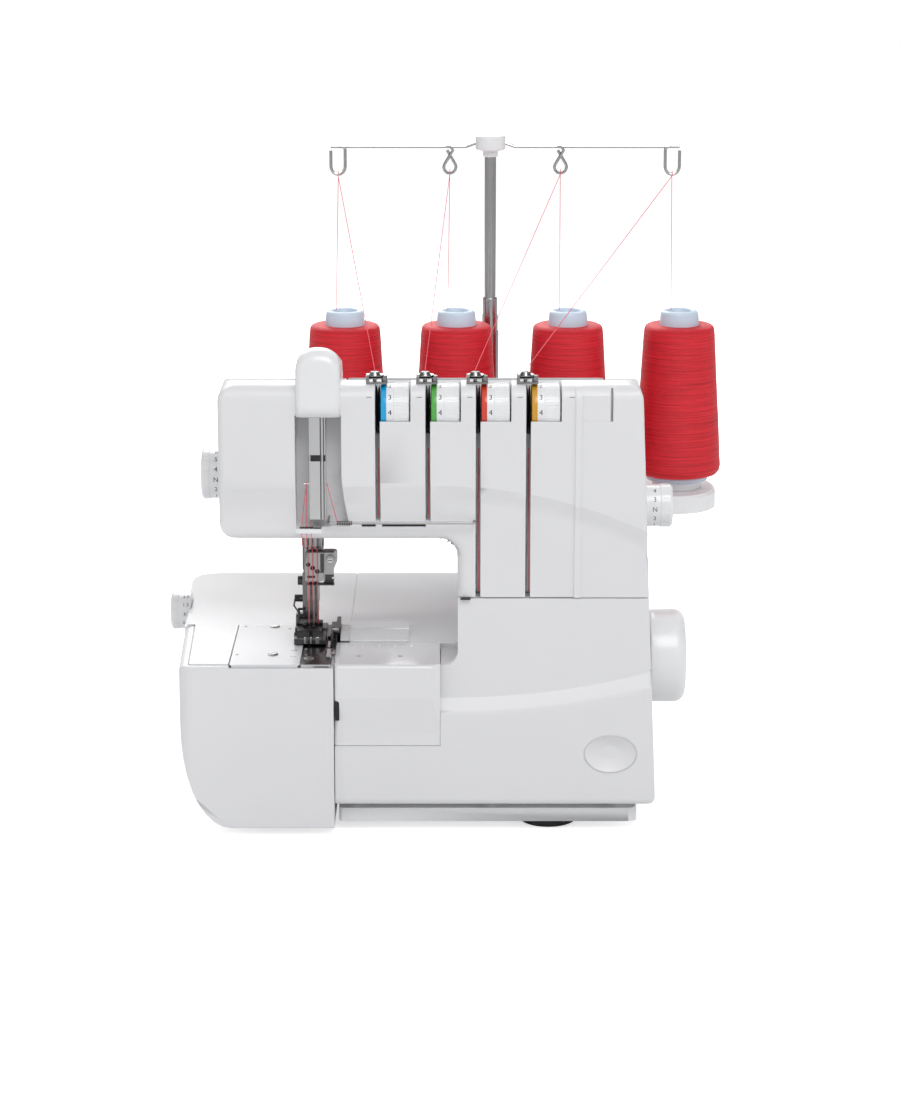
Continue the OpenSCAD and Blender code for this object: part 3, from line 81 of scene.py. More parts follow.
def finish_group(name, control, unevenness, shades, draw_patterns):
    """Shared finish: a height for the bump, and slightly uneven gloss and colour.

    control is the group's own input as (name, kind, value). draw_patterns takes the node tree, the
    group's inputs and the object coordinates, and returns the nodes of the bump and of the unevenness."""
    group = bpy.data.node_groups.new(name, "ShaderNodeTree")
    control_name, kind, value = control
    group_socket(group, control_name, "INPUT", kind, value)
    group_socket(group, "Roughness", "INPUT", "NodeSocketFloat", 0.3)
    group_socket(group, "Colour", "INPUT", "NodeSocketColor", (0.8, 0.8, 0.8, 1))
    group_socket(group, "Height", "OUTPUT", "NodeSocketFloat")
    group_socket(group, "Gloss", "OUTPUT", "NodeSocketFloat")
    group_socket(group, "Tint", "OUTPUT", "NodeSocketColor")
    nodes, links = group.nodes, group.links
    given, out = nodes.new("NodeGroupInput"), nodes.new("NodeGroupOutput")
    coords = nodes.new("ShaderNodeTexCoord")
    raised, patchy = draw_patterns(group, given.outputs[control_name], coords.outputs["Object"])
    uneven = nodes.new("ShaderNodeMath")
    uneven.operation = "MULTIPLY_ADD"
    uneven.inputs[1].default_value = unevenness
    links.new(patchy.outputs["Fac"], uneven.inputs[0])
    links.new(given.outputs["Roughness"], uneven.inputs[2])
    shade = nodes.new("ShaderNodeMapRange")
    shade.inputs["To Min"].default_value, shade.inputs["To Max"].default_value = shades
    links.new(patchy.outputs["Fac"], shade.inputs["Value"])
    tint = nodes.new("ShaderNodeVectorMath")
    tint.operation = "SCALE"
    links.new(given.outputs["Colour"], tint.inputs[0])
    links.new(shade.outputs["Result"], tint.inputs["Scale"])
    links.new(raised.outputs["Fac"], out.inputs["Height"])
    links.new(uneven.outputs["Value"], out.inputs["Gloss"])
    links.new(tint.outputs["Vector"], out.inputs["Tint"])
    return group


def grain_patterns(group, scale, place):
    """Fine grain of moulded plastic, with broad patches."""
    fine = group.nodes.new("ShaderNodeTexNoise")
    fine.inputs["Detail"].default_value = 3
    broad = group.nodes.new("ShaderNodeTexNoise")
    broad.inputs["Scale"].default_value = 9
    broad.inputs["Detail"].default_value = 2
    group.links.new(place, fine.inputs["Vector"])
    group.links.new(place, broad.inputs["Vector"])
    group.links.new(scale, fine.inputs["Scale"])
    return fine, broad


def line_patterns(group, stretch, place):
    """Fine parallel lines of ground or drawn metal, along one axis."""
    stretched = group.nodes.new("ShaderNodeVectorMath")
    stretched.operation = "MULTIPLY"
    lines = group.nodes.new("ShaderNodeTexNoise")
    lines.inputs["Scale"].default_value = 1
    lines.inputs["Detail"].default_value = 4
    group.links.new(place, stretched.inputs[0])
    group.links.new(stretch, stretched.inputs[1])
    group.links.new(stretched.outputs["Vector"], lines.inputs["Vector"])
    return lines, lines


MOULDED_GRAIN = finish_group(
    "moulded_grain", ("Scale", "NodeSocketFloat", 900.0), 0.12, (0.965, 1.02), grain_patterns)
GROUND_LINES = finish_group(
    "ground_lines", ("Stretch", "NodeSocketVector", (60.0, 60.0, 2500.0)), 0.18, (0.85, 1.1), line_patterns)


def finish_from(name, group, colour, roughness, bump, shader_values, group_values):
    """Material whose colour, gloss and bump come from one of the shared groups."""
    material = bpy.data.materials.new(name)
    material.use_nodes = True
    nodes, links = material.node_tree.nodes, material.node_tree.links
    shader = nodes["Principled BSDF"]
    surface = nodes.new("ShaderNodeGroup")
    surface.node_tree = group
    surface.inputs["Colour"].default_value = (*colour, 1)
    surface.inputs["Roughness"].default_value = roughness
    for socket, value in group_values.items():
        surface.inputs[socket].default_value = value
    raised = nodes.new("ShaderNodeBump")
    raised.inputs["Strength"].default_value = bump
    raised.inputs["Distance"].default_value = 0.0002
    links.new(surface.outputs["Tint"], shader.inputs["Base Color"])
    links.new(surface.outputs["Gloss"], shader.inputs["Roughness"])
    links.new(surface.outputs["Height"], raised.inputs["Height"])
    links.new(raised.outputs["Normal"], shader.inputs["Normal"])
    for socket, value in shader_values.items():
        shader.inputs[socket].default_value = value
    return material


def plastic(name, colour, roughness=0.32, bump=0.05, coat=0.0, scale=900.0):
    coating = {"Coat Weight": coat, "Coat Roughness": 0.12}
    return finish_from(name, MOULDED_GRAIN, colour, roughness, bump, coating, {"Scale": scale})


def metal(name, colour, roughness, bump=0.05, stretch=(60.0, 60.0, 2500.0)):
    return finish_from(name, GROUND_LINES, colour, roughness, bump, {"Metallic": 1.0}, {"Stretch": stretch})


SHELL_WHITE = plastic("shell_white", (0.80, 0.80, 0.815), 0.30)
TRIM_WHITE = plastic("trim_white", (0.86, 0.865, 0.875), 0.22, coat=0.3)
BED_WHITE = plastic("bed_white", (0.81, 0.81, 0.825), 0.10, coat=0.6)
PLATE_WHITE = plastic("plate_white", (0.72, 0.72, 0.74), 0.25)
BASE_GREY = plastic("base_grey", (0.84, 0.845, 0.85), 0.4, 0.15)
HANDLE_GREY = plastic("handle_grey", (0.66, 0.67, 0.68), 0.25)
RUBBER = plastic("rubber", (0.015, 0.015, 0.015), 0.65, 0.3, scale=2500.0)
BLACK_PLASTIC = plastic("black_plastic", (0.012, 0.012, 0.014), 0.25)
LAMP_COVER = plastic("lamp_cover", (0.9, 0.88, 0.8), 0.3)
BLACK_INK = plastic("black_ink", (0.02, 0.02, 0.022), 0.5)
GREY_INK = plastic("grey_ink", (0.30, 0.30, 0.31), 0.5)
WHITE_INK = plastic("white_ink", (0.95, 0.95, 0.95), 0.4)
CORE_BLUE = plastic("core_blue", (0.62, 0.73, 0.85), 0.3)
PLATED = metal("plated_steel", (0.62, 0.62, 0.62), 0.10, 0.02)
WIRE_STEEL = metal("wire_steel", (0.46, 0.455, 0.45), 0.22, 0.02, (300.0, 300.0, 300.0))
MAST_STEEL = metal("mast_steel", (0.42, 0.42, 0.415), 0.16, 0.02, (900.0, 900.0, 15.0))
GROUND = metal("ground_steel", (0.45, 0.445, 0.44), 0.22, 0.08, (80.0, 80.0, 3000.0))
DARK_STEEL = metal("dark_steel", (0.10, 0.10, 0.10), 0.3, 0.05)
# needle plate steel: colour darkened as a painted reflection of the dark surroundings the chrome plate mirrors
REFLECTION_DARKENED_STEEL = metal("reflection_darkened_steel", (0.075, 0.072, 0.07), 0.16, 0.03)
HOLDER_STEEL = metal("holder_steel", (0.26, 0.255, 0.25), 0.3, 0.06)
GUIDE_STEEL = metal("guide_steel", (0.30, 0.30, 0.30), 0.14, 0.02)
RING_FINISHES = [
    plastic("ring_blue", (0.0, 0.38, 0.75), 0.2, coat=0.5),
    plastic("ring_green", (0.08, 0.42, 0.06), 0.2, coat=0.5),
    plastic("ring_red", (0.68, 0.045, 0.02), 0.2, coat=0.5),
    plastic("ring_yellow", (0.66, 0.33, 0.02), 0.2, coat=0.5),
]


def build_wound_thread():
    """Red thread wound in crossing layers: fine level turns with slanting ones over them."""
    material = bpy.data.materials.new("wound_thread")
    material.use_nodes = True
    nodes, links = material.node_tree.nodes, material.node_tree.links
    shader = nodes["Principled BSDF"]
    shader.inputs["Roughness"].default_value = 0.55
    unwrapped = nodes.new("ShaderNodeUVMap")
    unwrapped.uv_map = "winding"
    heights = []
    # turns up the cone, and how many times each layer climbs in one turn round it
    for turns, climb in ((150.0, 0.0), (118.0, 9.0), (118.0, -9.0)):
        lay = nodes.new("ShaderNodeVectorMath")
        lay.operation = "DOT_PRODUCT"
        lay.inputs[1].default_value = (climb, turns, 0)
        links.new(unwrapped.outputs["UV"], lay.inputs[0])
        ripple = nodes.new("ShaderNodeMath")
        ripple.operation = "MULTIPLY"
        ripple.inputs[1].default_value = 2 * math.pi
        links.new(lay.outputs["Value"], ripple.inputs[0])
        wave = nodes.new("ShaderNodeMath")
        wave.operation = "SINE"
        links.new(ripple.outputs["Value"], wave.inputs[0])
        heights.append(wave)
    patches = nodes.new("ShaderNodeTexNoise")
    patches.inputs["Scale"].default_value = 7
    patches.inputs["Detail"].default_value = 3
    patch_place = nodes.new("ShaderNodeMapping")
    patch_place.inputs["Scale"].default_value = (1.0, 9.0, 1.0)
    links.new(unwrapped.outputs["UV"], patch_place.inputs["Vector"])
    links.new(patch_place.outputs["Vector"], patches.inputs["Vector"])
    crossing = nodes.new("ShaderNodeMath")
    crossing.operation = "MAXIMUM"
    links.new(heights[1].outputs["Value"], crossing.inputs[0])
    links.new(heights[2].outputs["Value"], crossing.inputs[1])
    mixed = nodes.new("ShaderNodeMix")
    links.new(patches.outputs["Fac"], mixed.inputs["Factor"])
    links.new(heights[0].outputs["Value"], mixed.inputs["A"])
    links.new(crossing.outputs["Value"], mixed.inputs["B"])
    raised = nodes.new("ShaderNodeBump")
    raised.inputs["Strength"].default_value = 0.45
    raised.inputs["Distance"].default_value = 0.0003
    links.new(mixed.outputs["Result"], raised.inputs["Height"])
    links.new(raised.outputs["Normal"], shader.inputs["Normal"])
    # thin dark streaks in the red: partly the thread's own tone, partly painted shade where one layer crosses
    # the edge of the next
    crossing_shade_streaks = nodes.new("ShaderNodeTexNoise")
    crossing_shade_streaks.inputs["Scale"].default_value = 1
    crossing_shade_streaks.inputs["Detail"].default_value = 4
    crossing_shade_place = nodes.new("ShaderNodeMapping")
    crossing_shade_place.inputs["Rotation"].default_value = (0, 0, math.radians(8))
    crossing_shade_place.inputs["Scale"].default_value = (3.0, 130.0, 1.0)
    links.new(unwrapped.outputs["UV"], crossing_shade_place.inputs["Vector"])
    links.new(crossing_shade_place.outputs["Vector"], crossing_shade_streaks.inputs["Vector"])
    ramp = nodes.new("ShaderNodeValToRGB")
    ramp.color_ramp.elements[0].position = 0.3
    ramp.color_ramp.elements[0].color = (0.42, 0.0, 0.008, 1)
    ramp.color_ramp.elements[1].position = 0.58
    ramp.color_ramp.elements[1].color = (0.78, 0.008, 0.022, 1)
    links.new(crossing_shade_streaks.outputs["Fac"], ramp.inputs["Fac"])
    links.new(ramp.outputs["Color"], shader.inputs["Base Color"])
    return material


def build_sewing_thread():
    """Single twisted thread."""
    material = bpy.data.materials.new("sewing_thread")
    material.use_nodes = True
    nodes, links = material.node_tree.nodes, material.node_tree.links
    shader = nodes["Principled BSDF"]
    shader.inputs["Roughness"].default_value = 0.6
    coords = nodes.new("ShaderNodeTexCoord")
    twist = nodes.new("ShaderNodeTexNoise")
    twist.inputs["Scale"].default_value = 2500
    ramp = nodes.new("ShaderNodeValToRGB")
    ramp.color_ramp.elements[0].color = (0.70, 0.05, 0.08, 1)
    ramp.color_ramp.elements[1].color = (0.95, 0.16, 0.20, 1)
    links.new(coords.outputs["Object"], twist.inputs["Vector"])
    links.new(twist.outputs["Fac"], ramp.inputs["Fac"])
    links.new(ramp.outputs["Color"], shader.inputs["Base Color"])
    return material


WOUND_THREAD = build_wound_thread()
SEWING_THREAD = build_sewing_thread()


# ---------------------------------------------------------------- making pieces


def keep_piece(name, bm, finish, body, smooth=True):
    """Turns a bmesh into a piece that rides on a body."""
    bmesh.ops.remove_doubles(bm, verts=bm.verts, dist=1e-6)
    bmesh.ops.recalc_face_normals(bm, faces=bm.faces)
    for face in bm.faces:
        face.smooth = smooth
    mesh = bpy.data.meshes.new(name)
    bm.to_mesh(mesh)
    bm.free()
    mesh.materials.append(finish)
    piece = bpy.data.objects.new(name, mesh)
    bpy.context.scene.collection.objects.link(piece)
    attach(piece, body)
    return piece


def soften_edges(piece, width, segments=3, angle=35):
    """Rounds the sharp edges and keeps the flat faces flat in the shading."""
    bevel = piece.modifiers.new("edges", "BEVEL")
    bevel.width = width * MM
    bevel.segments = segments
    bevel.limit_method = "ANGLE"
    bevel.angle_limit = math.radians(angle)
    bevel.use_clamp_overlap = False
    bevel.harden_normals = True


SHARP = math.radians(20)  # a corner
SLIGHT = math.radians(32)  # a corner between broad faces that still gets the crease's rounding
CREASE = math.radians(5)  # a slight crease, which counts only between broad faces
BROAD = 4.0 * MM
CREASE_ROUNDING = 2.5  # millimetres
LEAST_ROUNDING = 0.12  # millimetres; a narrower rounding is left out
SHARE_OF_NEIGHBOUR = 0.42  # most of a short edge beside a rounding that the rounding may use up
SHARE_OF_EDGE = 0.9
TRIES = 6
TRIES_NARROWED = 3  # after these, a faulty rounding is left out
NARROWER, SLIGHTLY_NARROWER = 0.45, 0.7
STANDING_OUT = 0.03 * MM
LYING_ON = 0.02 * MM
LEAST_FOLD = (0.05 * MM) ** 2


def put_in_order(bm):
    """Sorts a mesh's parts by their places, so that each run works on them in the same order."""
    def rank(place):
        return place.x + 0.731 * place.y + 0.417 * place.z

    bm.verts.sort(key=lambda vert: rank(vert.co))
    bm.edges.sort(key=lambda edge: rank(edge.verts[0].co + edge.verts[1].co))
    bm.faces.sort(key=lambda face: rank(face.calc_center_median()))
    for parts in (bm.verts, bm.edges, bm.faces):
        parts.index_update()


def split_wide_faces(bm):
    """Cuts faces of more than four corners into triangles."""
    wide = [face for face in bm.faces if len(face.verts) > 4]
    bmesh.ops.triangulate(bm, faces=wide, quad_method="BEAUTY", ngon_method="BEAUTY")


def is_broad(face, edge):
    """True where the face reaches well away from the edge."""
    return face.calc_area() > BROAD * edge.calc_length()


def is_sharp(edge):
    """True at a corner, and at a slight crease between two broad faces."""
    if len(edge.link_faces) != 2:
        return False
    angle = edge.calc_face_angle(0)
    return angle > SHARP or angle > CREASE and all(is_broad(face, edge) for face in edge.link_faces)


def face_turn(face, edge, vert):
    """True where the face runs along the edge away from the vertex."""
    for loop in face.loops:
        if loop.edge is edge:
            return loop.vert is vert
    return True


def room_for_radius(edge, sharp):
    """Widest rounding, in millimetres, that stays clear of the short edges beside this one."""
    room = 1000.0
    for face in edge.link_faces:
        together = 0.0
        for vert in edge.verts:
            beside = next(e for e in face.edges if e is not edge and vert in e.verts)
            along = (edge.other_vert(vert).co - vert.co).normalized()
            away = (beside.other_vert(vert).co - vert.co).normalized()
            corner = along.angle(away, math.pi)
            rounded_too = beside in sharp and beside.is_convex
            if rounded_too:
                convex = along.cross(away).dot(face.normal) * (1 if face_turn(face, edge, vert) else -1) > 0
                if convex:
                    together += 1 / max(math.tan(corner / 2), 1e-4)
            if not rounded_too or corner < math.radians(135):
                room = min(room, SHARE_OF_NEIGHBOUR * beside.calc_length() / MM * math.sin(corner))
        if together > 0:
            room = min(room, SHARE_OF_EDGE * edge.calc_length() / MM / together)
    return room


def unfold(bm):
    """Turns the long edge of each sliver that a moved corner has folded over onto its neighbour."""
    for _ in range(6):
        folded = []
        for face in bm.faces:
            if len(face.verts) != 3:
                continue
            longest = max(face.edges, key=lambda e: e.calc_length())
            if len(longest.link_faces) != 2:
                continue
            other = longest.link_faces[0] if longest.link_faces[1] is face else longest.link_faces[1]
            opposed = len(other.verts) == 3 and face.normal.dot(other.normal) < -0.9
            if opposed and face.calc_area() <= other.calc_area():
                folded.append(longest)
        if not folded:
            break
        for long_edge in dict.fromkeys(folded):
            if long_edge.is_valid:
                bmesh.utils.edge_rotate(long_edge, False)
        bm.normal_update()


def faults(bm, surface):
    """Places where a rounded mesh stands out of the solid it was made from, or is folded over."""
    places = []
    for vert in bm.verts:
        near, normal, _, gap = surface.find_nearest(vert.co)
        if gap > STANDING_OUT and (vert.co - near).dot(normal) > 0:
            places.append(vert.co.copy())
    for face in bm.faces:
        middle = face.calc_center_median()
        near, normal, _, gap = surface.find_nearest(middle)
        if gap < LYING_ON and face.normal.dot(normal) < 0.3 and face.calc_area() > LEAST_FOLD:
            places.extend([middle] + [vert.co.copy() for vert in face.verts])
    return places


def lies_near(edge, place, reach=1.5 * MM):
    """True where a place is close to the edge's own stretch."""
    a, b = (vert.co for vert in edge.verts)
    near, along = intersect_point_line(place, a, b)
    near = a if along < 0 else b if along > 1 else near
    return (near - place).length < reach


def rounded_copy(bm, piece, sharp, rounded, segments):
    """Copy of bm with the chosen edges rounded, each by its own width, made on the piece itself."""
    widest = max(rounded.values())
    weight = bm.edges.layers.float["bevel_weight_edge"]
    for e in bm.edges:
        e[weight] = rounded.get(e, 0.0) / widest
        e.smooth = e in rounded or e not in sharp
    flat = bm.copy()
    split_wide_faces(flat)
    flat.to_mesh(piece.data)
    flat.free()
    bevel = piece.modifiers.new("edges", "BEVEL")
    bevel.width = widest * MM
    bevel.segments = segments
    bevel.limit_method = "WEIGHT"
    bevel.use_clamp_overlap = False
    shaped = bpy.data.meshes.new_from_object(piece.evaluated_get(bpy.context.evaluated_depsgraph_get()))
    piece.modifiers.clear()
    done = bmesh.new()
    done.from_mesh(shaped)
    bpy.data.meshes.remove(shaped)
    put_in_order(done)
    bmesh.ops.dissolve_degenerate(done, dist=1e-6, edges=done.edges)
    split_wide_faces(done)
    done.normal_update()
    unfold(done)
    return done


def dress(node, finish, edge=0.5, roll=None, segments=3):
    """Copy of a node with rounded edges and smooth curves, shown in place of it.

    roll(edge) gives the rounding of chosen edges in millimetres, or nothing. Where a rounding stands
    out of the solid or folds over, the edges beside it are made again with a narrower one."""
    bm = bmesh.new()
    bm.from_mesh(frame["nodes"][node].data)
    bmesh.ops.remove_doubles(bm, verts=bm.verts, dist=2e-6)
    bmesh.ops.dissolve_limit(bm, angle_limit=math.radians(0.04), verts=bm.verts, edges=bm.edges)
    bm.edges.layers.float.new("bevel_weight_edge")
    put_in_order(bm)
    surface = BVHTree.FromBMesh(bm)
    sharp = {e for e in bm.edges if is_sharp(e)}
    rounded = {}
    for e in sharp:
        angle = e.calc_face_angle(0)
        radius = (roll(e) if roll else None) or edge
        slight = angle < SLIGHT and all(is_broad(face, e) for face in e.link_faces)
        wanted = max(radius * min(math.tan(angle / 2), 1.2), CREASE_ROUNDING if slight else 0)
        width = min(wanted, room_for_radius(e, sharp)) if e.is_convex and edge > 0 else 0
        if width > LEAST_ROUNDING:
            rounded[e] = width
    for face in bm.faces:
        face.smooth = True
    mesh = bpy.data.meshes.new(node + "_dressed")
    piece = bpy.data.objects.new(node + "_dressed", mesh)
    bpy.context.scene.collection.objects.link(piece)
    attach(piece, BODY_OF[node])
    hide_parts(node)
    for attempt in range(TRIES):
        if not rounded:
            break
        done = rounded_copy(bm, piece, sharp, rounded, segments)
        wrong = faults(done, surface)
        if not wrong:
            break
        if attempt < TRIES - 1:
            done.free()
            share = NARROWER if attempt < TRIES_NARROWED else 0
            shrunk = {e: width * share for e, width in rounded.items()
                      if any(lies_near(e, place) for place in wrong)}
            if not shrunk:
                shrunk = {e: width * SLIGHTLY_NARROWER for e, width in rounded.items()}
            rounded.update(shrunk)
            rounded = {e: width for e, width in rounded.items() if width > LEAST_ROUNDING}
    if rounded:
        done.to_mesh(mesh)
        done.free()
    else:
        for e in bm.edges:
            e.smooth = e not in sharp
        split_wide_faces(bm)
        bm.to_mesh(mesh)
    bm.free()
    mesh.materials.clear()
    mesh.materials.append(finish)
    shading = piece.modifiers.new("flat_faces", "WEIGHTED_NORMAL")
    shading.mode = "FACE_AREA_WITH_ANGLE"
    shading.weight = 50
    shading.keep_sharp = True
    return piece


def paint(piece, finish, chosen):
    """Gives a second finish to the faces whose middle, in millimetres, is chosen."""
    piece.data.materials.append(finish)
    for polygon in piece.data.polygons:
        x, y, z = (c / MM for c in polygon.center)
        if chosen(x, y + HALF_DEPTH, z):
            polygon.material_index = len(piece.data.materials) - 1


def refinish(node, finish):
    """New material on a node whose shape is shown as it is."""
    shown = frame["nodes"][node]
    shown.data.materials.clear()
    shown.data.materials.append(finish)


def add_block(bm, low, high):
    """Box between two corners given in millimetres."""
    a, b = spot(*low), spot(*high)
    made = bmesh.ops.create_cube(bm, size=1)
    bmesh.ops.scale(bm, vec=b - a, verts=made["verts"])
    bmesh.ops.translate(bm, vec=(a + b) / 2, verts=made["verts"])


TURN_TO = {
    "x": Euler((0, math.radians(90), 0)).to_matrix(),
    "y": Euler((math.radians(-90), 0, 0)).to_matrix(),
    "z": Matrix.Identity(3),
}


def add_rod(bm, radius, length, centre, axis="z", segments=24):
    """Cylinder along an axis, given by its middle."""
    made = bmesh.ops.create_cone(
        bm, cap_ends=True, segments=segments, radius1=radius * MM, radius2=radius * MM, depth=length * MM)
    bmesh.ops.rotate(bm, cent=(0, 0, 0), matrix=TURN_TO[axis], verts=made["verts"])
    bmesh.ops.translate(bm, vec=spot(*centre), verts=made["verts"])


def add_turned(bm, profile, centre, axis="z", steps=48):
    """Solid of revolution from [radius, height] points, turned round an axis through centre."""
    part = bmesh.new()
    verts = [part.verts.new((r * MM, 0, h * MM)) for r, h in profile]
    edges = [part.edges.new(pair) for pair in zip(verts, verts[1:])]
    bmesh.ops.spin(part, geom=verts + edges, cent=(0, 0, 0), axis=(0, 0, 1), angle=2 * math.pi,
                   steps=steps, use_merge=True)
    bmesh.ops.remove_doubles(part, verts=part.verts, dist=1e-6)
    bmesh.ops.rotate(part, cent=(0, 0, 0), matrix=TURN_TO[axis], verts=part.verts)
    bmesh.ops.translate(part, vec=spot(*centre), verts=part.verts)
    mesh = bpy.data.meshes.new("turned")
    part.to_mesh(mesh)
    part.free()
    bm.from_mesh(mesh)
    bpy.data.meshes.remove(mesh)


def text_mesh(words, height, thickness=0.04):
    """Thin solid lettering of plain dial numbers, centred on the origin, facing +Z."""
    curve = bpy.data.curves.new("lettering", "FONT")
    curve.body = words
    curve.size = height * 1.38 * MM
    curve.align_x = "CENTER"
    curve.align_y = "CENTER"
    curve.extrude = thickness * MM / 2
    curve.resolution_u = 3
    holder = bpy.data.objects.new("lettering", curve)
    bpy.context.scene.collection.objects.link(holder)
    bpy.context.view_layer.update()
    mesh = bpy.data.meshes.new_from_object(holder)
    bpy.data.objects.remove(holder)
    bpy.data.curves.remove(curve)
    return mesh


def add_wrapped_text(bm, words, height, x, axis_y, axis_z, radius, angle):
    """Lettering laid round a drum whose axis runs along x. Angle 0 faces the front, 90 the top."""
    mesh = text_mesh(words, height)
    flat = bmesh.new()
    flat.from_mesh(mesh)
    for k in range(-5, 6):
        everything = flat.verts[:] + flat.edges[:] + flat.faces[:]
        bmesh.ops.bisect_plane(flat, geom=everything, plane_co=(0, k * height * MM / 10, 0), plane_no=(0, 1, 0))
    flat.to_mesh(mesh)
    flat.free()
    start = len(bm.verts)
    bm.from_mesh(mesh)
    bpy.data.meshes.remove(mesh)
    bm.verts.ensure_lookup_table()
    for vert in bm.verts[start:]:
        across, up, out = (c / MM for c in vert.co)
        reach = radius + 0.03 + out
        turn = math.radians(angle) + up / radius
        vert.co = spot(x + across, axis_y - reach * math.cos(turn), axis_z + reach * math.sin(turn))


# ---------------------------------------------------------------- housings

THUMB_X, THUMB_Z, THUMB_REACH = 103.0, 54.6, 21.0
UNROUNDED = 0.02


def front_rim(node, width, depth, ends=13.0):
    """Wider rounding for the edges of a node's front face that lie near its left and right ends."""
    low, high = node_box(node)

    def roll(edge):
        x, y, z = (edge.verts[0].co + edge.verts[1].co) / (2 * MM)
        if node == "front_cover" and math.hypot(x - THUMB_X, z - THUMB_Z) < THUMB_REACH:
            return UNROUNDED
        near_end = x < low[0] + ends or x > high[0] - ends
        return width if y + HALF_DEPTH < low[1] + depth and near_end else None

    return roll


GLOSSY = ("bed_housing", "side_table", "looper_guard")
for node_name, edge_width, rim_width, rim_depth, rim_ends in (
    ("front_housing", 0.7, 5.0, 5.5, 13),
    ("rear_housing", 1.2, 1.2, 0, 1),
    ("bed_housing", 1.0, 5.0, 6.0, 13),
    ("front_cover", 0.9, 3.0, 6.0, 60),
    ("side_table", 1.2, 3.0, 3.0, 90),
    ("accessory_box", 1.0, 1.0, 0, 1),
    ("looper_guard", 0.8, 0.8, 0, 1),
):
    rim = front_rim(node_name, rim_width, rim_depth, rim_ends)
    dress(node_name, BED_WHITE if node_name in GLOSSY else SHELL_WHITE, edge_width, rim, 5)
for node_name, edge_width in (
    ("spool_stand", 0.8), ("cone_holders", 0.4), ("mast_cap", 0.3),
    ("pressure_dial", 0.25), ("feed_dial", 0.25), ("length_dial", 0.25), ("handwheel", 0.0),
):
    dress(node_name, TRIM_WHITE, edge_width)
dress("cloth_plate", PLATE_WHITE, 0.3, lambda edge: UNROUNDED if edge.calc_length() < 1.2 * MM else None)
dress("base_pan", BASE_GREY, 0.8)
dress("carry_handle", HANDLE_GREY, 1.2)
dress("rubber_feet", RUBBER, 0.6)
dress("power_inlet", BLACK_PLASTIC, 0.4)
dress("power_switch", BLACK_PLASTIC, 0.6)
dress("sewing_lamp", LAMP_COVER, 0.4)
dress("spool_pins", TRIM_WHITE, 0.0)
for node_name in ("mast_lower_tube", "mast_slide_tube"):
    dress(node_name, MAST_STEEL, 0.15)
dress("guide_wire", WIRE_STEEL, 0.0)
paint(dress("arm_thread_guides", WIRE_STEEL, 0.0), TRIM_WHITE, lambda x, y, z: x < -80.8 and z < 203.9)
# needle plate top is darkened steel as painted reflection; its front lip gets bright plated steel as a painted
# highlight
paint(dress("needle_plate", REFLECTION_DARKENED_STEEL, 0.25), PLATED, lambda x, y, z: y < 3.0)
dress("presser_foot", DARK_STEEL, 0.2)
dress("pretension_guides", GUIDE_STEEL, 0.1)
for node_name, edge_width in (("take_up_strip", 0.2), ("finger_lever", 0.1)):
    dress(node_name, PLATED, edge_width)
for node_name, edge_width in (
    ("machine_screws", 0.1), ("lower_knife", 0.15), ("looper_shafts", 0.2), ("main_shaft", 0.3),
    ("needle_bar", 0.2), ("take_up_lever", 0.15), ("upper_looper", 0.2), ("lower_looper", 0.2),
    ("feed_dogs", 0.0), ("needles", 0.0), ("hinge_shaft", 0.2),
):
    dress(node_name, GROUND, edge_width)
paint(dress("needle_clamp", GROUND, 0.25), DARK_STEEL, lambda x, y, z: y < 63 and (z > 174.3 or z < 153.6))
paint(dress("presser_bar", HOLDER_STEEL, 0.2), DARK_STEEL, lambda x, y, z: x < -97.1 or y < 72)
for node_name, edge_width in (("tension_units", 0.0), ("upper_knife", 0.2), ("presser_lifter", 0.5)):
    dress(node_name, DARK_STEEL, edge_width)
for node_name in ("supply_threads", "machine_threads"):
    refinish(node_name, SEWING_THREAD)


# ---------------------------------------------------------------- dials

DIAL_Y, DIAL_Z, DIAL_R = 20.3, 278.0, 16.0
RING_WIDTH = 3.6
BAND_WIDTH = 4.6
BAND_R = DIAL_R - 0.35
RIDGES = 60
DIGIT_STEP = 36.0
FRONT_DIGIT = 4


def tension_dial(index):
    node = f"tension_dial_{index + 1}"
    low, high = node_box(node)
    body = BODY_OF[node]
    left, right = low[0], high[0]
    ring = bmesh.new()
    add_turned(
        ring,
        [[0, 0], [DIAL_R - 1.2, 0], [DIAL_R - 0.3, 0.3], [DIAL_R, 1.0], [DIAL_R, RING_WIDTH],
         [0, RING_WIDTH]],
        (left, DIAL_Y, DIAL_Z), "x", 72)
    made = keep_piece(f"{node}_ring", ring, RING_FINISHES[index], body)
    soften_edges(made, 0.15, 2, 40)
    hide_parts(node)
    drum = bmesh.new()
    grip_start = RING_WIDTH + BAND_WIDTH
    width = right - left
    add_turned(
        drum,
        [[0, RING_WIDTH], [BAND_R, RING_WIDTH], [BAND_R, grip_start], [DIAL_R - 0.1, grip_start + 0.2],
         [DIAL_R - 0.1, width - 0.6], [DIAL_R - 0.8, width], [0, width]],
        (left, DIAL_Y, DIAL_Z), "x", 72)
    for k in range(RIDGES):
        angle = 2 * math.pi * k / RIDGES
        reach = DIAL_R - 0.15
        y, z = DIAL_Y - reach * math.cos(angle), DIAL_Z + reach * math.sin(angle)
        middle = ((left + right + grip_start) / 2, y, z)
        add_rod(drum, 0.28, width - grip_start - 1.6, middle, "x", 6)
    made = keep_piece(f"{node}_drum", drum, TRIM_WHITE, body)
    soften_edges(made, 0.12, 2, 40)
    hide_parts(node)
    digits = bmesh.new()
    band_middle = left + RING_WIDTH + BAND_WIDTH / 2
    for value in range(10):
        angle = (FRONT_DIGIT - value) * DIGIT_STEP
        add_wrapped_text(digits, str(value), 3.5, band_middle, DIAL_Y, DIAL_Z, BAND_R, angle)
    keep_piece(f"{node}_digits", digits, BLACK_INK, body, smooth=False)


for dial_index in range(4):
    tension_dial(dial_index)


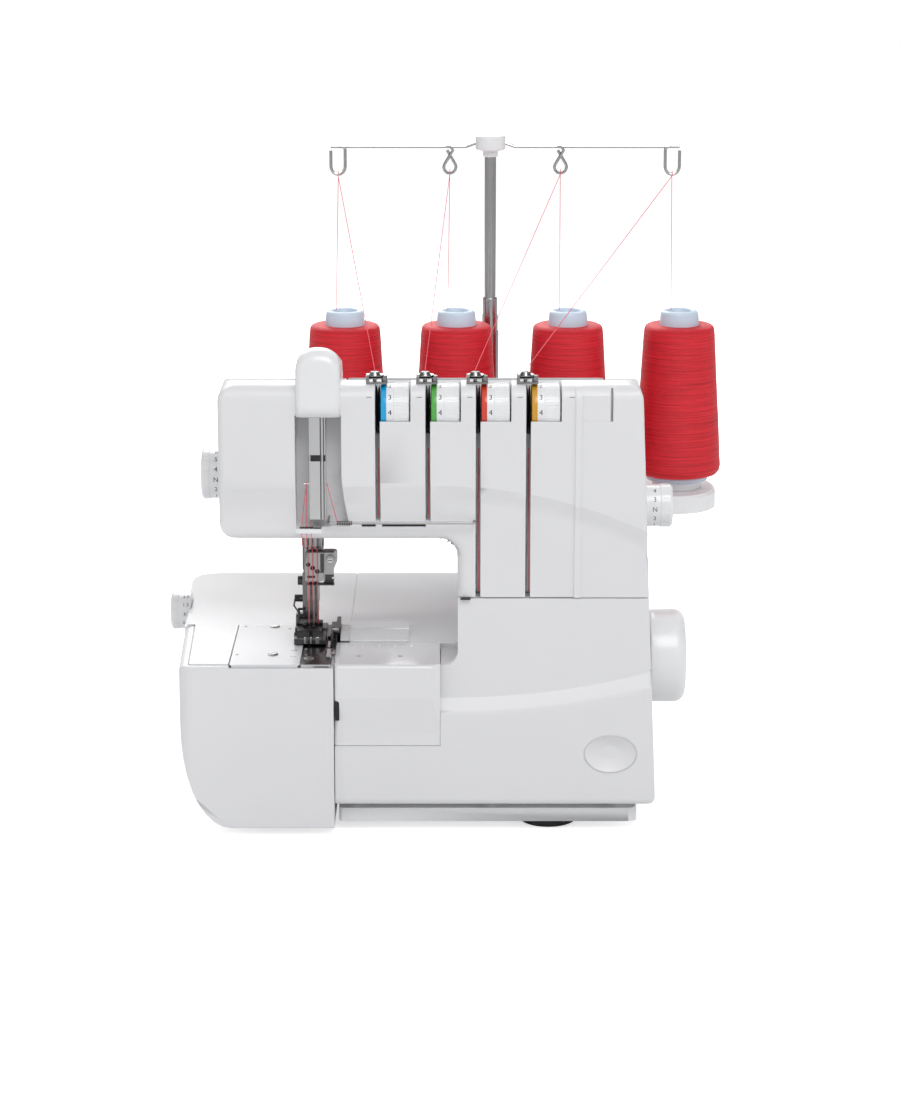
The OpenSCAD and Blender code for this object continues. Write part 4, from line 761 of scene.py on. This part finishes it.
def side_dial_marks(node, x, words, radius, step, first_angle, height):
    """Numbers round a side dial, upright when seen from the front."""
    low, high = node_box(node)
    axis_y, axis_z = (low[1] + high[1]) / 2, (low[2] + high[2]) / 2
    marks = bmesh.new()
    for k, word in enumerate(words):
        add_wrapped_text(marks, word, height, x, axis_y, axis_z, radius, first_angle - k * step)
    keep_piece(f"{node}_marks", marks, BLACK_INK, BODY_OF[node], smooth=False)


side_dial_marks("length_dial", 135.8, ["4", "3", "N", "2", "1"], 14.1, 27.0, 54.5, 3.2)
side_dial_marks("pressure_dial", -151.4, ["6", "5", "4", "N", "2", "1"], 16.1, 24.5, 71.0, 3.2)
side_dial_marks("feed_dial", -180.2, ["2.0", "1.5", "N", "0.7"], 12.3, 31.0, 63.0, 2.6)


# ---------------------------------------------------------------- thread cones

WOUND_HEIGHT = 106


def thread_cone(index):
    node = f"thread_cone_{index + 1}"
    low, high = node_box(node)
    x, y = (low[0] + high[0]) / 2, (low[1] + high[1]) / 2
    bottom, top = low[2] + 3.7, high[2] - 10
    body = BODY_OF[node]
    wide, narrow = 30.1, 24.6
    outline = [[15.2, bottom], [24.5, bottom], [27.8, bottom + 0.8], [29.6, bottom + 3],
               [30.3, bottom + 6.5], [wide, bottom + 9]]
    layers = 26
    for k in range(1, layers):
        t = k / layers
        wobble = 0.12 * math.sin(9.0 * t + 1.7 * index) + 0.06 * math.sin(31.0 * t + index)
        outline.append([wide + (narrow - wide) * t + wobble * (1 - t), bottom + 9 + (top - 12 - bottom) * t])
    outline += [[24.3, top - 2.2], [23.4, top - 0.8], [21.8, top], [13.6, top]]
    wound = bmesh.new()
    layer = wound.loops.layers.uv.new("winding")
    verts = [wound.verts.new((r * MM, 0, h * MM)) for r, h in outline]
    edges = [wound.edges.new(pair) for pair in zip(verts, verts[1:])]
    bmesh.ops.spin(wound, geom=verts + edges, cent=(0, 0, 0), axis=(0, 0, 1), angle=2 * math.pi,
                   steps=96, use_merge=True)
    for face in wound.faces:
        middle = face.calc_center_median()
        round_middle = math.atan2(middle.y, middle.x)
        for loop in face.loops:
            place = loop.vert.co
            turn = math.atan2(place.y, place.x)
            while turn - round_middle > math.pi:
                turn -= 2 * math.pi
            while turn - round_middle < -math.pi:
                turn += 2 * math.pi
            climbed = (place.z / MM - bottom) / WOUND_HEIGHT
            inward = (30 - Vector((place.x, place.y)).length / MM) / WOUND_HEIGHT
            loop[layer].uv = (turn / (2 * math.pi), climbed + inward)
    bmesh.ops.translate(wound, vec=spot(x, y, 0), verts=wound.verts)
    made = keep_piece(f"{node}_wound", wound, WOUND_THREAD, body)
    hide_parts(node)
    core = bmesh.new()
    add_turned(
        core,
        [[15.1, low[2]], [21.5, low[2]], [21.2, bottom + 0.2], [15.5, bottom + 0.3],
         [13.8, top + 0.1], [13.2, top + 7.6], [12.7, top + 9.2], [11.6, top + 10],
         [9.2, top + 10], [8.6, top + 9.2], [8.4, top + 5.5], [4.3, top + 5.5],
         [4.15, top + 5.4], [4.15, top - 3], [10.4, top - 3], [14.6, low[2] + 0.4], [15.1, low[2]]],
        (x, y, 0), "z", 64)
    made = keep_piece(f"{node}_core", core, CORE_BLUE, body)
    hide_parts(node)


for cone_index in range(4):
    thread_cone(cone_index)


# ---------------------------------------------------------------- take-up cover and thumb recess


def take_up_shell():
    """Thin cover over the take-up lever: an arch that rolls over at the front and slopes down behind."""
    low, high = node_box("take_up_cover")
    middle, half, skirt, back = (low[0] + high[0]) / 2, (high[0] - low[0]) / 2, low[2], high[1]
    crown, front_roll, side_roll, back_top = high[2], 10.0, 4.0, 293.4
    bulge = 0.86  # below 1, so the arch is fuller than an ellipse
    shell = bmesh.new()
    rings = []
    depths = [0, 0.15, 0.6, 1.2, 2.0, 3.0, 4.0, 5.0, 7.0, 9.5, 13, 18, 24, 30, 36, 42, 48, back - 3, back - 0.2]
    for depth in depths:
        inset = side_roll - math.sqrt(side_roll**2 - max(side_roll - depth, 0) ** 2)
        rolled = crown - front_roll + math.sqrt(front_roll**2 - max(front_roll - depth, 0) ** 2)
        fall = max(depth - 12, 0) / (back - 12)
        top = rolled - (crown - back_top) * (0.28 * fall + 0.72 * fall**2.4)
        spring = min(304.0, top - 2.5)
        foot = skirt if depth < 4.5 else 290.0
        width = half - inset
        ring = [(-width, foot + (spring - foot) * k / 4) for k in range(4)]
        for k in range(25):
            turn = math.pi * k / 24
            across = math.copysign(abs(math.cos(turn)) ** bulge, math.cos(turn))
            ring.append((-width * across, spring + (top - spring) * math.sin(turn) ** bulge))
        ring += [(width, foot + (spring - foot) * k / 4) for k in (3, 2, 1, 0)]
        rings.append([shell.verts.new(spot(middle + x, depth, z)) for x, z in ring])
    for near, far in zip(rings, rings[1:]):
        for k in range(len(near) - 1):
            shell.faces.new((near[k], near[k + 1], far[k + 1], far[k]))
    shell.faces.new(rings[0])
    node = "take_up_cover"
    made = keep_piece("take_up_cover_shell", shell, TRIM_WHITE, BODY_OF[node])
    wall = made.modifiers.new("wall", "SOLIDIFY")
    wall.thickness = 1.6 * MM
    wall.offset = -1
    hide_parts("take_up_cover")


take_up_shell()


def thumb_bowl():
    """Dished floor of the oval thumb recess."""
    half_length, half_height, face, depth, back = 17.4, 13.15, 3.46, 5.2, 8.3
    around = 48
    bowl = bmesh.new()

    def oval(reach, y):
        turns = [2 * math.pi * a / around for a in range(around)]
        return [bowl.verts.new(spot(THUMB_X + half_length * reach * math.cos(turn), y,
                                    THUMB_Z + half_height * reach * math.sin(turn))) for turn in turns]

    steps = 10
    rings = [oval(k / steps, face + depth * (1 - (k / steps) ** 2)) for k in range(1, steps + 1)]
    rings.append(oval(1, back))
    deepest = bowl.verts.new(spot(THUMB_X, face + depth, THUMB_Z))
    for a in range(around):
        bowl.faces.new((deepest, rings[0][a], rings[0][(a + 1) % around]))
    for near, far in zip(rings, rings[1:]):
        for a in range(around):
            bowl.faces.new((near[a], near[(a + 1) % around], far[(a + 1) % around], far[a]))
    bowl.faces.new(rings[-1][::-1])
    made = keep_piece("thumb_bowl", bowl, SHELL_WHITE, BODY_OF["front_cover"])
    shading = made.modifiers.new("flat_faces", "WEIGHTED_NORMAL")
    shading.keep_sharp = True


thumb_bowl()


# ---------------------------------------------------------------- small fittings and marks


def fitting(name, finish, node, build, edge=0.0):
    """Small piece that rides with a node."""
    bm = bmesh.new()
    build(bm)
    made = keep_piece(name, bm, finish, BODY_OF[node], edge > 0)
    if edge > 0:
        soften_edges(made, edge, 2, 40)
    return made


def blocks(*corners):
    """Builder of boxes, each given as x0, x1, y0, y1, z0, z1."""
    def build(bm):
        for x0, x1, y0, y1, z0, z1 in corners:
            add_block(bm, (x0, y0, z0), (x1, y1, z1))
    return build


def rods(*given):
    """Builder of rods, each given as add_rod() takes it."""
    def build(bm):
        for rod in given:
            add_rod(bm, *rod)
    return build


def rings(profile, centres, axis, steps):
    """Builder of small turned pieces of one profile."""
    def build(bm):
        for centre in centres:
            add_turned(bm, profile, centre, axis, steps)
    return build


def clips(bm):
    """Three rings at the arm's lower edge and the bar beside them."""
    profile = [[0.9, 0], [1.5, 0], [1.5, 0.7], [0.9, 0.7], [0.9, 0]]
    rings(profile, [(x, 4.4, 203.8) for x in (-93.6, -90.6, -87.6)], "z", 16)(bm)
    add_block(bm, (-86.0, 2.6, 203.8), (-81.4, 3.6, 204.5))


SLOT_LEFTS = [node_box(f"tension_dial_{k + 1}")[0][0] - 2.3 for k in range(4)]
fitting("guide_slot_shadow", BLACK_PLASTIC, "front_housing", blocks(
    (SLOT_LEFTS[0] - 10.5, SLOT_LEFTS[0] - 1.5, 10.0, 15.4, 203.6, 206.2),
    (SLOT_LEFTS[0] + 2.5, SLOT_LEFTS[1] - 1.5, 10.0, 15.4, 203.6, 206.2)))
fitting("dial_index_marks", GREY_INK, "front_housing", blocks(
    *[(x - 6.5, x - 3.3, 4.2, 4.50, 287.8, 288.2) for x in SLOT_LEFTS],
    (75.0, 78.0, 4.2, 4.50, 287.8, 288.2)))
# thin black strip in the front housing's seam: painted shade in the seam
fitting("seam_shade_strip", BLACK_PLASTIC, "front_housing", blocks((6.6, 13.0, 5.6, 9.0, 156.6, 157.5)))
fitting("strip_beads", PLATED, "take_up_strip", rods(
    (0.5, 65.3, (-88.0, 1.9, 242.8), "z"), (0.6, 65.3, (-80.2, 1.9, 242.8), "z")), 0.1)
fitting("strip_shadow_line", DARK_STEEL, "take_up_strip", blocks(
    *[(x, x + width, 1.5, 1.9, 210.2, 275.5) for x, width in ((-81.6, 0.7), (-79.5, 0.6))]))
fitting("strip_band", BLACK_PLASTIC, "take_up_strip", blocks((-88.6, -78.2, 1.55, 6.0, 247.6, 251.4)), 0.15)
fitting("thread_hook", PLATED, "take_up_strip", rods(
    (0.6, 3.4, (-90.0, 6.6, 232.0), "x"), (1.2, 1.0, (-91.6, 6.6, 232.0), "x")), 0.1)
fitting("guide_clips", DARK_STEEL, "arm_thread_guides", clips)
fitting("guide_wire_coils", DARK_STEEL, "arm_thread_guides", rings(
    [[0.9, -0.4], [1.35, -0.4], [1.35, 0.4], [0.9, 0.4], [0.9, -0.4]],
    [(-71.0 + 1.1 * k, 2.8, 207.5) for k in range(9)], "x", 16))

# fittings of the needle end
fitting("needle_guard_rods", HOLDER_STEEL, "front_housing", rods(
    (0.55, 34.0, (-95.6, 58.0, 180.0), "z"), (0.55, 24.0, (-83.2, 73.5, 185.0), "z")))
fitting("clamp_rods", GROUND, "needle_clamp", rods(
    (1.0, 26.0, (-93.6, 62.0, 187.5), "z"),
    (0.9, 26.0, (-91.0, 60.6, 187.5), "z"),
    (0.8, 26.0, (-84.0, 62.0, 187.5), "z")))
fitting("clamp_screws", BLACK_PLASTIC, "needle_clamp", rods(
    *[(1.4, 3.6, (-92.5 + 3 * k, 60.2, 166 - 2.2 * k), "y") for k in range(3)]), 0.15)
fitting("clamp_shadow", DARK_STEEL, "needle_clamp", blocks(
    (-84.6, -82.3, 58.9, 60.0, 160.5, 173.5),
    (-81.6, -76.0, 61.4, 62.2, 154.0, 158.6),
    (-93.4, -88.0, 58.8, 59.6, 157.0, 158.6)), 0.15)
fitting("clamp_bolt", PLATED, "needle_clamp", rods(
    (1.9, 1.2, (-78.1, 58.7, 169.0), "y"),
    (0.9, 1.2, (-76.4, 61.6, 156.6), "y")), 0.2)
# black bar across the bolt's head: painted shade in its slot
fitting("clamp_bolt_slot_shade", BLACK_PLASTIC, "needle_clamp", blocks((-79.6, -76.6, 57.95, 58.3, 168.8, 169.2)))
fitting("foot_spring", BLACK_PLASTIC, "presser_bar", rods(
    (1.5, 3.0, (-100.3, 74.0, 139.0), "x"),
    (0.8, 5.0, (-97.6, 70.5, 133.0), "x"),
    (0.7, 7.0, (-99.4, 70.0, 130.0), "z"),
    (1.0, 4.0, (-96.8, 68.0, 129.6), "x"),
    (0.8, 6.0, (-92.6, 68.0, 129.2), "x")), 0.1)
fitting("foot_pins", BLACK_PLASTIC, "presser_foot", rods(
    (1.0, 2.4, (-95.2, 62.0, 124.6), "x"),
    (0.8, 2.2, (-89.4, 60.0, 124.4), "x"),
    (2.2, 3.4, (-100.2, 55.0, 119.2), "x")), 0.15)
# bright plated bars on the foot's three toes: painted highlight on the dark foot
fitting("foot_toe_highlights", PLATED, "presser_foot", blocks(
    (-95.0, -93.3, 43.7, 50.0, 116.6, 121.2),
    (-91.2, -89.8, 43.7, 50.0, 116.6, 121.2),
    (-87.4, -85.0, 43.7, 50.0, 116.6, 121.2)), 0.3)
fitting("knife_roller", HOLDER_STEEL, "upper_knife", rods((2.2, 4.6, (-75.0, 55.6, 123.0), "x")), 0.3)

# cloth plate and needle plate
TOP, INK = 115.2, 0.03
# thin black strip in the gap at the cloth plate's left edge: painted shade in the gap
fitting("plate_gap_shade", BLACK_PLASTIC, "cloth_plate", blocks((-140.8, -140.45, 1.2, 95.8, 113.4, TOP + 0.02)))
fitting("plate_lip", DARK_STEEL, "cloth_plate", blocks((-140.6, -95.6, 0.72, 1.2, 113.3, 114.5)))
# black discs over the cloth plate's small holes: painted shade inside the holes
fitting("plate_hole_shade", BLACK_PLASTIC, "cloth_plate", rods(
    *[(1.0, 0.1, (x, y, TOP), "z") for x, y in ((-135.9, 91.0), (-106.3, 86.0), (-137.2, 23.7))]))
fitting("plate_marks", BLACK_INK, "cloth_plate", blocks(
    *[(*mark, TOP, TOP + INK) for mark in (
        (-102.4, -99.6, 32.6, 33.2), (-102.6, -102.0, 32.6, 34.2), (-99.9, -99.3, 32.6, 34.2),
        (-102.6, -101.2, 18.8, 19.4), (-100.4, -99.0, 18.8, 19.4))]))
fitting("needle_plate_marks", WHITE_INK, "needle_plate", blocks(
    (-94.2, -92.4, 36.8, 37.3, TOP, TOP + INK),
    (-93.6, -91.8, 22.8, 23.3, TOP, TOP + INK)))

# side table and the step of the looper guard
fitting("table_dots", WHITE_INK, "side_table", rods(
    *[(0.75, 0.06, (x, 46.6, 115.0), "z", 16) for x in (-67.3, -56.8, -46.0, -35.6, -25.1)]))
fitting("table_scale", WHITE_INK, "side_table", blocks(
    (-72.0, -24.6, 44.4, 44.7, 114.9, 115.03),
    *[(-67.6 + 5.3 * k, -67.0 + 5.3 * k, 42.6, 44.6, 114.9, 115.03) for k in range(9)]))
fitting("table_pads", GREY_INK, "side_table", rings(
    [[0, 0], [1.5, 0], [1.5, 0.06], [0.8, 0.09], [0, 0.09]],
    [(x, 21.2, 114.96) for x in (-58.6, -32.2)], "z", 20))
fitting("bay_ledge", SHELL_WHITE, "bed_housing", blocks((-6.3, 6.4, 16.0, 56.0, 107.0, 111.5)), 0.6)
# thin black strip in the gap at the side table's left end: painted shade in the gap
fitting("table_edge_gap_shade", BLACK_PLASTIC, "side_table", blocks((-73.8, -73.2, 3.0, 9.0, 104.0, 113.4)))
fitting("table_buffer", RUBBER, "side_table", blocks((-73.6, -70.8, 0.35, 6.0, 78.0, 91.0)), 0.3)


def guard_step():
    """Lower step at the left end of the looper guard."""
    bm = bmesh.new()
    profile = [(55.5, 115.0), (55.5, 115.8), (62.0, 119.4), (80.0, 119.8), (90.0, 115.0)]
    ends = [[bm.verts.new(spot(x, y, z)) for y, z in profile] for x in (-71.9, -64.0)]
    count = len(profile)
    for k in range(count):
        bm.faces.new((ends[0][k], ends[0][(k + 1) % count], ends[1][(k + 1) % count], ends[1][k]))
    bm.faces.new(ends[0])
    bm.faces.new(ends[1])
    node = "looper_guard"
    made = keep_piece("looper_guard_step", bm, SHELL_WHITE, BODY_OF[node])
    soften_edges(made, 0.5, 3, 20)


guard_step()


# ---------------------------------------------------------------- camera, light and floor

PICTURE_HEIGHT = 1117
FOCAL_PIXELS = 3000.0
CAMERA_PITCH = 12.75
AXIS_ROW = 481.0
CAMERA_PLACE = (0, -1837, 651)

camera_data = bpy.data.cameras.new("camera")
camera_data.sensor_width = 36.0
camera_data.lens = FOCAL_PIXELS / PICTURE_HEIGHT * camera_data.sensor_width
camera_data.shift_y = (AXIS_ROW - PICTURE_HEIGHT / 2) / PICTURE_HEIGHT
camera = bpy.data.objects.new("camera", camera_data)
camera.location = spot(*CAMERA_PLACE)
camera.rotation_euler = (math.radians(90 - CAMERA_PITCH), 0, 0)
bpy.context.scene.collection.objects.link(camera)
bpy.context.scene.camera = camera


def soft_lamp(name, place, aim, size, power):
    lamp_data = bpy.data.lights.new(name, "AREA")
    lamp_data.shape = "DISK"
    lamp_data.size = size
    lamp_data.energy = power
    lamp = bpy.data.objects.new(name, lamp_data)
    lamp.location = place
    lamp.rotation_euler = (Vector(aim) - Vector(place)).to_track_quat("-Z", "Y").to_euler()
    bpy.context.scene.collection.objects.link(lamp)


soft_lamp("key_lamp", (0.3, -1.5, 1.9), (0, 0, 0.15), 1.2, 17)
soft_lamp("rear_lamp", (-0.3, 1.6, 1.4), (0, 0, 0.12), 1.6, 24)
soft_lamp("side_lamp", (2.0, -1.2, 1.0), (0, 0, 0.2), 1.2, 4)
soft_lamp("left_lamp", (-2.0, -1.4, 0.9), (0, 0, 0.2), 1.2, 3)


def build_world():
    """White studio for the camera, bright and dark cards for gloss, an even pale level for the rest."""
    world = bpy.data.worlds.new("studio")
    bpy.context.scene.world = world
    world.use_nodes = True
    nodes, links = world.node_tree.nodes, world.node_tree.links
    nodes.clear()
    out = nodes.new("ShaderNodeOutputWorld")
    level = nodes.new("ShaderNodeBackground")
    level.inputs["Color"].default_value = (0.98, 0.985, 1.0, 1)
    seen = nodes.new("ShaderNodeBackground")
    seen.inputs["Color"].default_value = (1, 1, 1, 1)
    mirrored = nodes.new("ShaderNodeBackground")
    coords = nodes.new("ShaderNodeTexCoord")
    apart = nodes.new("ShaderNodeSeparateXYZ")
    links.new(coords.outputs["Generated"], apart.inputs["Vector"])
    sky = nodes.new("ShaderNodeMapRange")
    sky.inputs["To Min"].default_value = 0.62
    sky.inputs["To Max"].default_value = 0.40
    links.new(apart.outputs["Z"], sky.inputs["Value"])
    links.new(sky.outputs["Result"], level.inputs["Strength"])
    sideways = nodes.new("ShaderNodeMath")
    sideways.operation = "ABSOLUTE"
    links.new(apart.outputs["X"], sideways.inputs[0])
    cards = nodes.new("ShaderNodeValToRGB")
    ramp = cards.color_ramp
    ramp.elements[0].position, ramp.elements[0].color = 0.0, (0.55, 0.55, 0.55, 1)
    ramp.elements[1].position, ramp.elements[1].color = 1.0, (0.9, 0.9, 0.9, 1)
    for position, grey in ((0.25, 0.95), (0.5, 1.0), (0.66, 0.30), (0.86, 0.12), (0.94, 0.7)):
        element = ramp.elements.new(position)
        element.color = (grey, grey, grey, 1)
    links.new(sideways.outputs["Value"], cards.inputs["Fac"])
    links.new(cards.outputs["Color"], mirrored.inputs["Color"])
    path = nodes.new("ShaderNodeLightPath")
    glossy = nodes.new("ShaderNodeMixShader")
    links.new(path.outputs["Is Glossy Ray"], glossy.inputs["Fac"])
    links.new(level.outputs["Background"], glossy.inputs[1])
    links.new(mirrored.outputs["Background"], glossy.inputs[2])
    direct = nodes.new("ShaderNodeMixShader")
    through = nodes.new("ShaderNodeMath")
    through.operation = "MAXIMUM"
    links.new(path.outputs["Is Camera Ray"], through.inputs[0])
    links.new(path.outputs["Is Transmission Ray"], through.inputs[1])
    links.new(through.outputs["Value"], direct.inputs["Fac"])
    links.new(glossy.outputs["Shader"], direct.inputs[1])
    links.new(seen.outputs["Background"], direct.inputs[2])
    links.new(direct.outputs["Shader"], out.inputs["Surface"])


build_world()


FLOOR_LIFT = 0.63


def build_floor():
    """Pale floor that reads white to the camera but keeps the machine's shadow."""
    bm = bmesh.new()
    bmesh.ops.create_grid(bm, x_segments=1, y_segments=1, size=6)
    mesh = bpy.data.meshes.new("floor")
    bm.to_mesh(mesh)
    bm.free()
    floor = bpy.data.objects.new("floor", mesh)
    bpy.context.scene.collection.objects.link(floor)
    material = bpy.data.materials.new("pale_floor")
    material.use_nodes = True
    nodes, links = material.node_tree.nodes, material.node_tree.links
    shader = nodes["Principled BSDF"]
    shader.inputs["Base Color"].default_value = (0.9, 0.9, 0.9, 1)
    shader.inputs["Roughness"].default_value = 0.9
    shader.inputs["Specular IOR Level"].default_value = 0.0
    path = nodes.new("ShaderNodeLightPath")
    lift = nodes.new("ShaderNodeEmission")
    lift.inputs["Color"].default_value = (1, 1, 1, 1)
    scaled = nodes.new("ShaderNodeMath")
    scaled.operation = "MULTIPLY"
    scaled.inputs[1].default_value = FLOOR_LIFT
    links.new(path.outputs["Is Camera Ray"], scaled.inputs[0])
    links.new(scaled.outputs["Value"], lift.inputs["Strength"])
    both = nodes.new("ShaderNodeAddShader")
    links.new(shader.outputs["BSDF"], both.inputs[0])
    links.new(lift.outputs["Emission"], both.inputs[1])
    links.new(both.outputs["Shader"], nodes["Material Output"].inputs["Surface"])
    mesh.materials.append(material)


build_floor()

bpy.context.scene.view_settings.view_transform = "Standard"
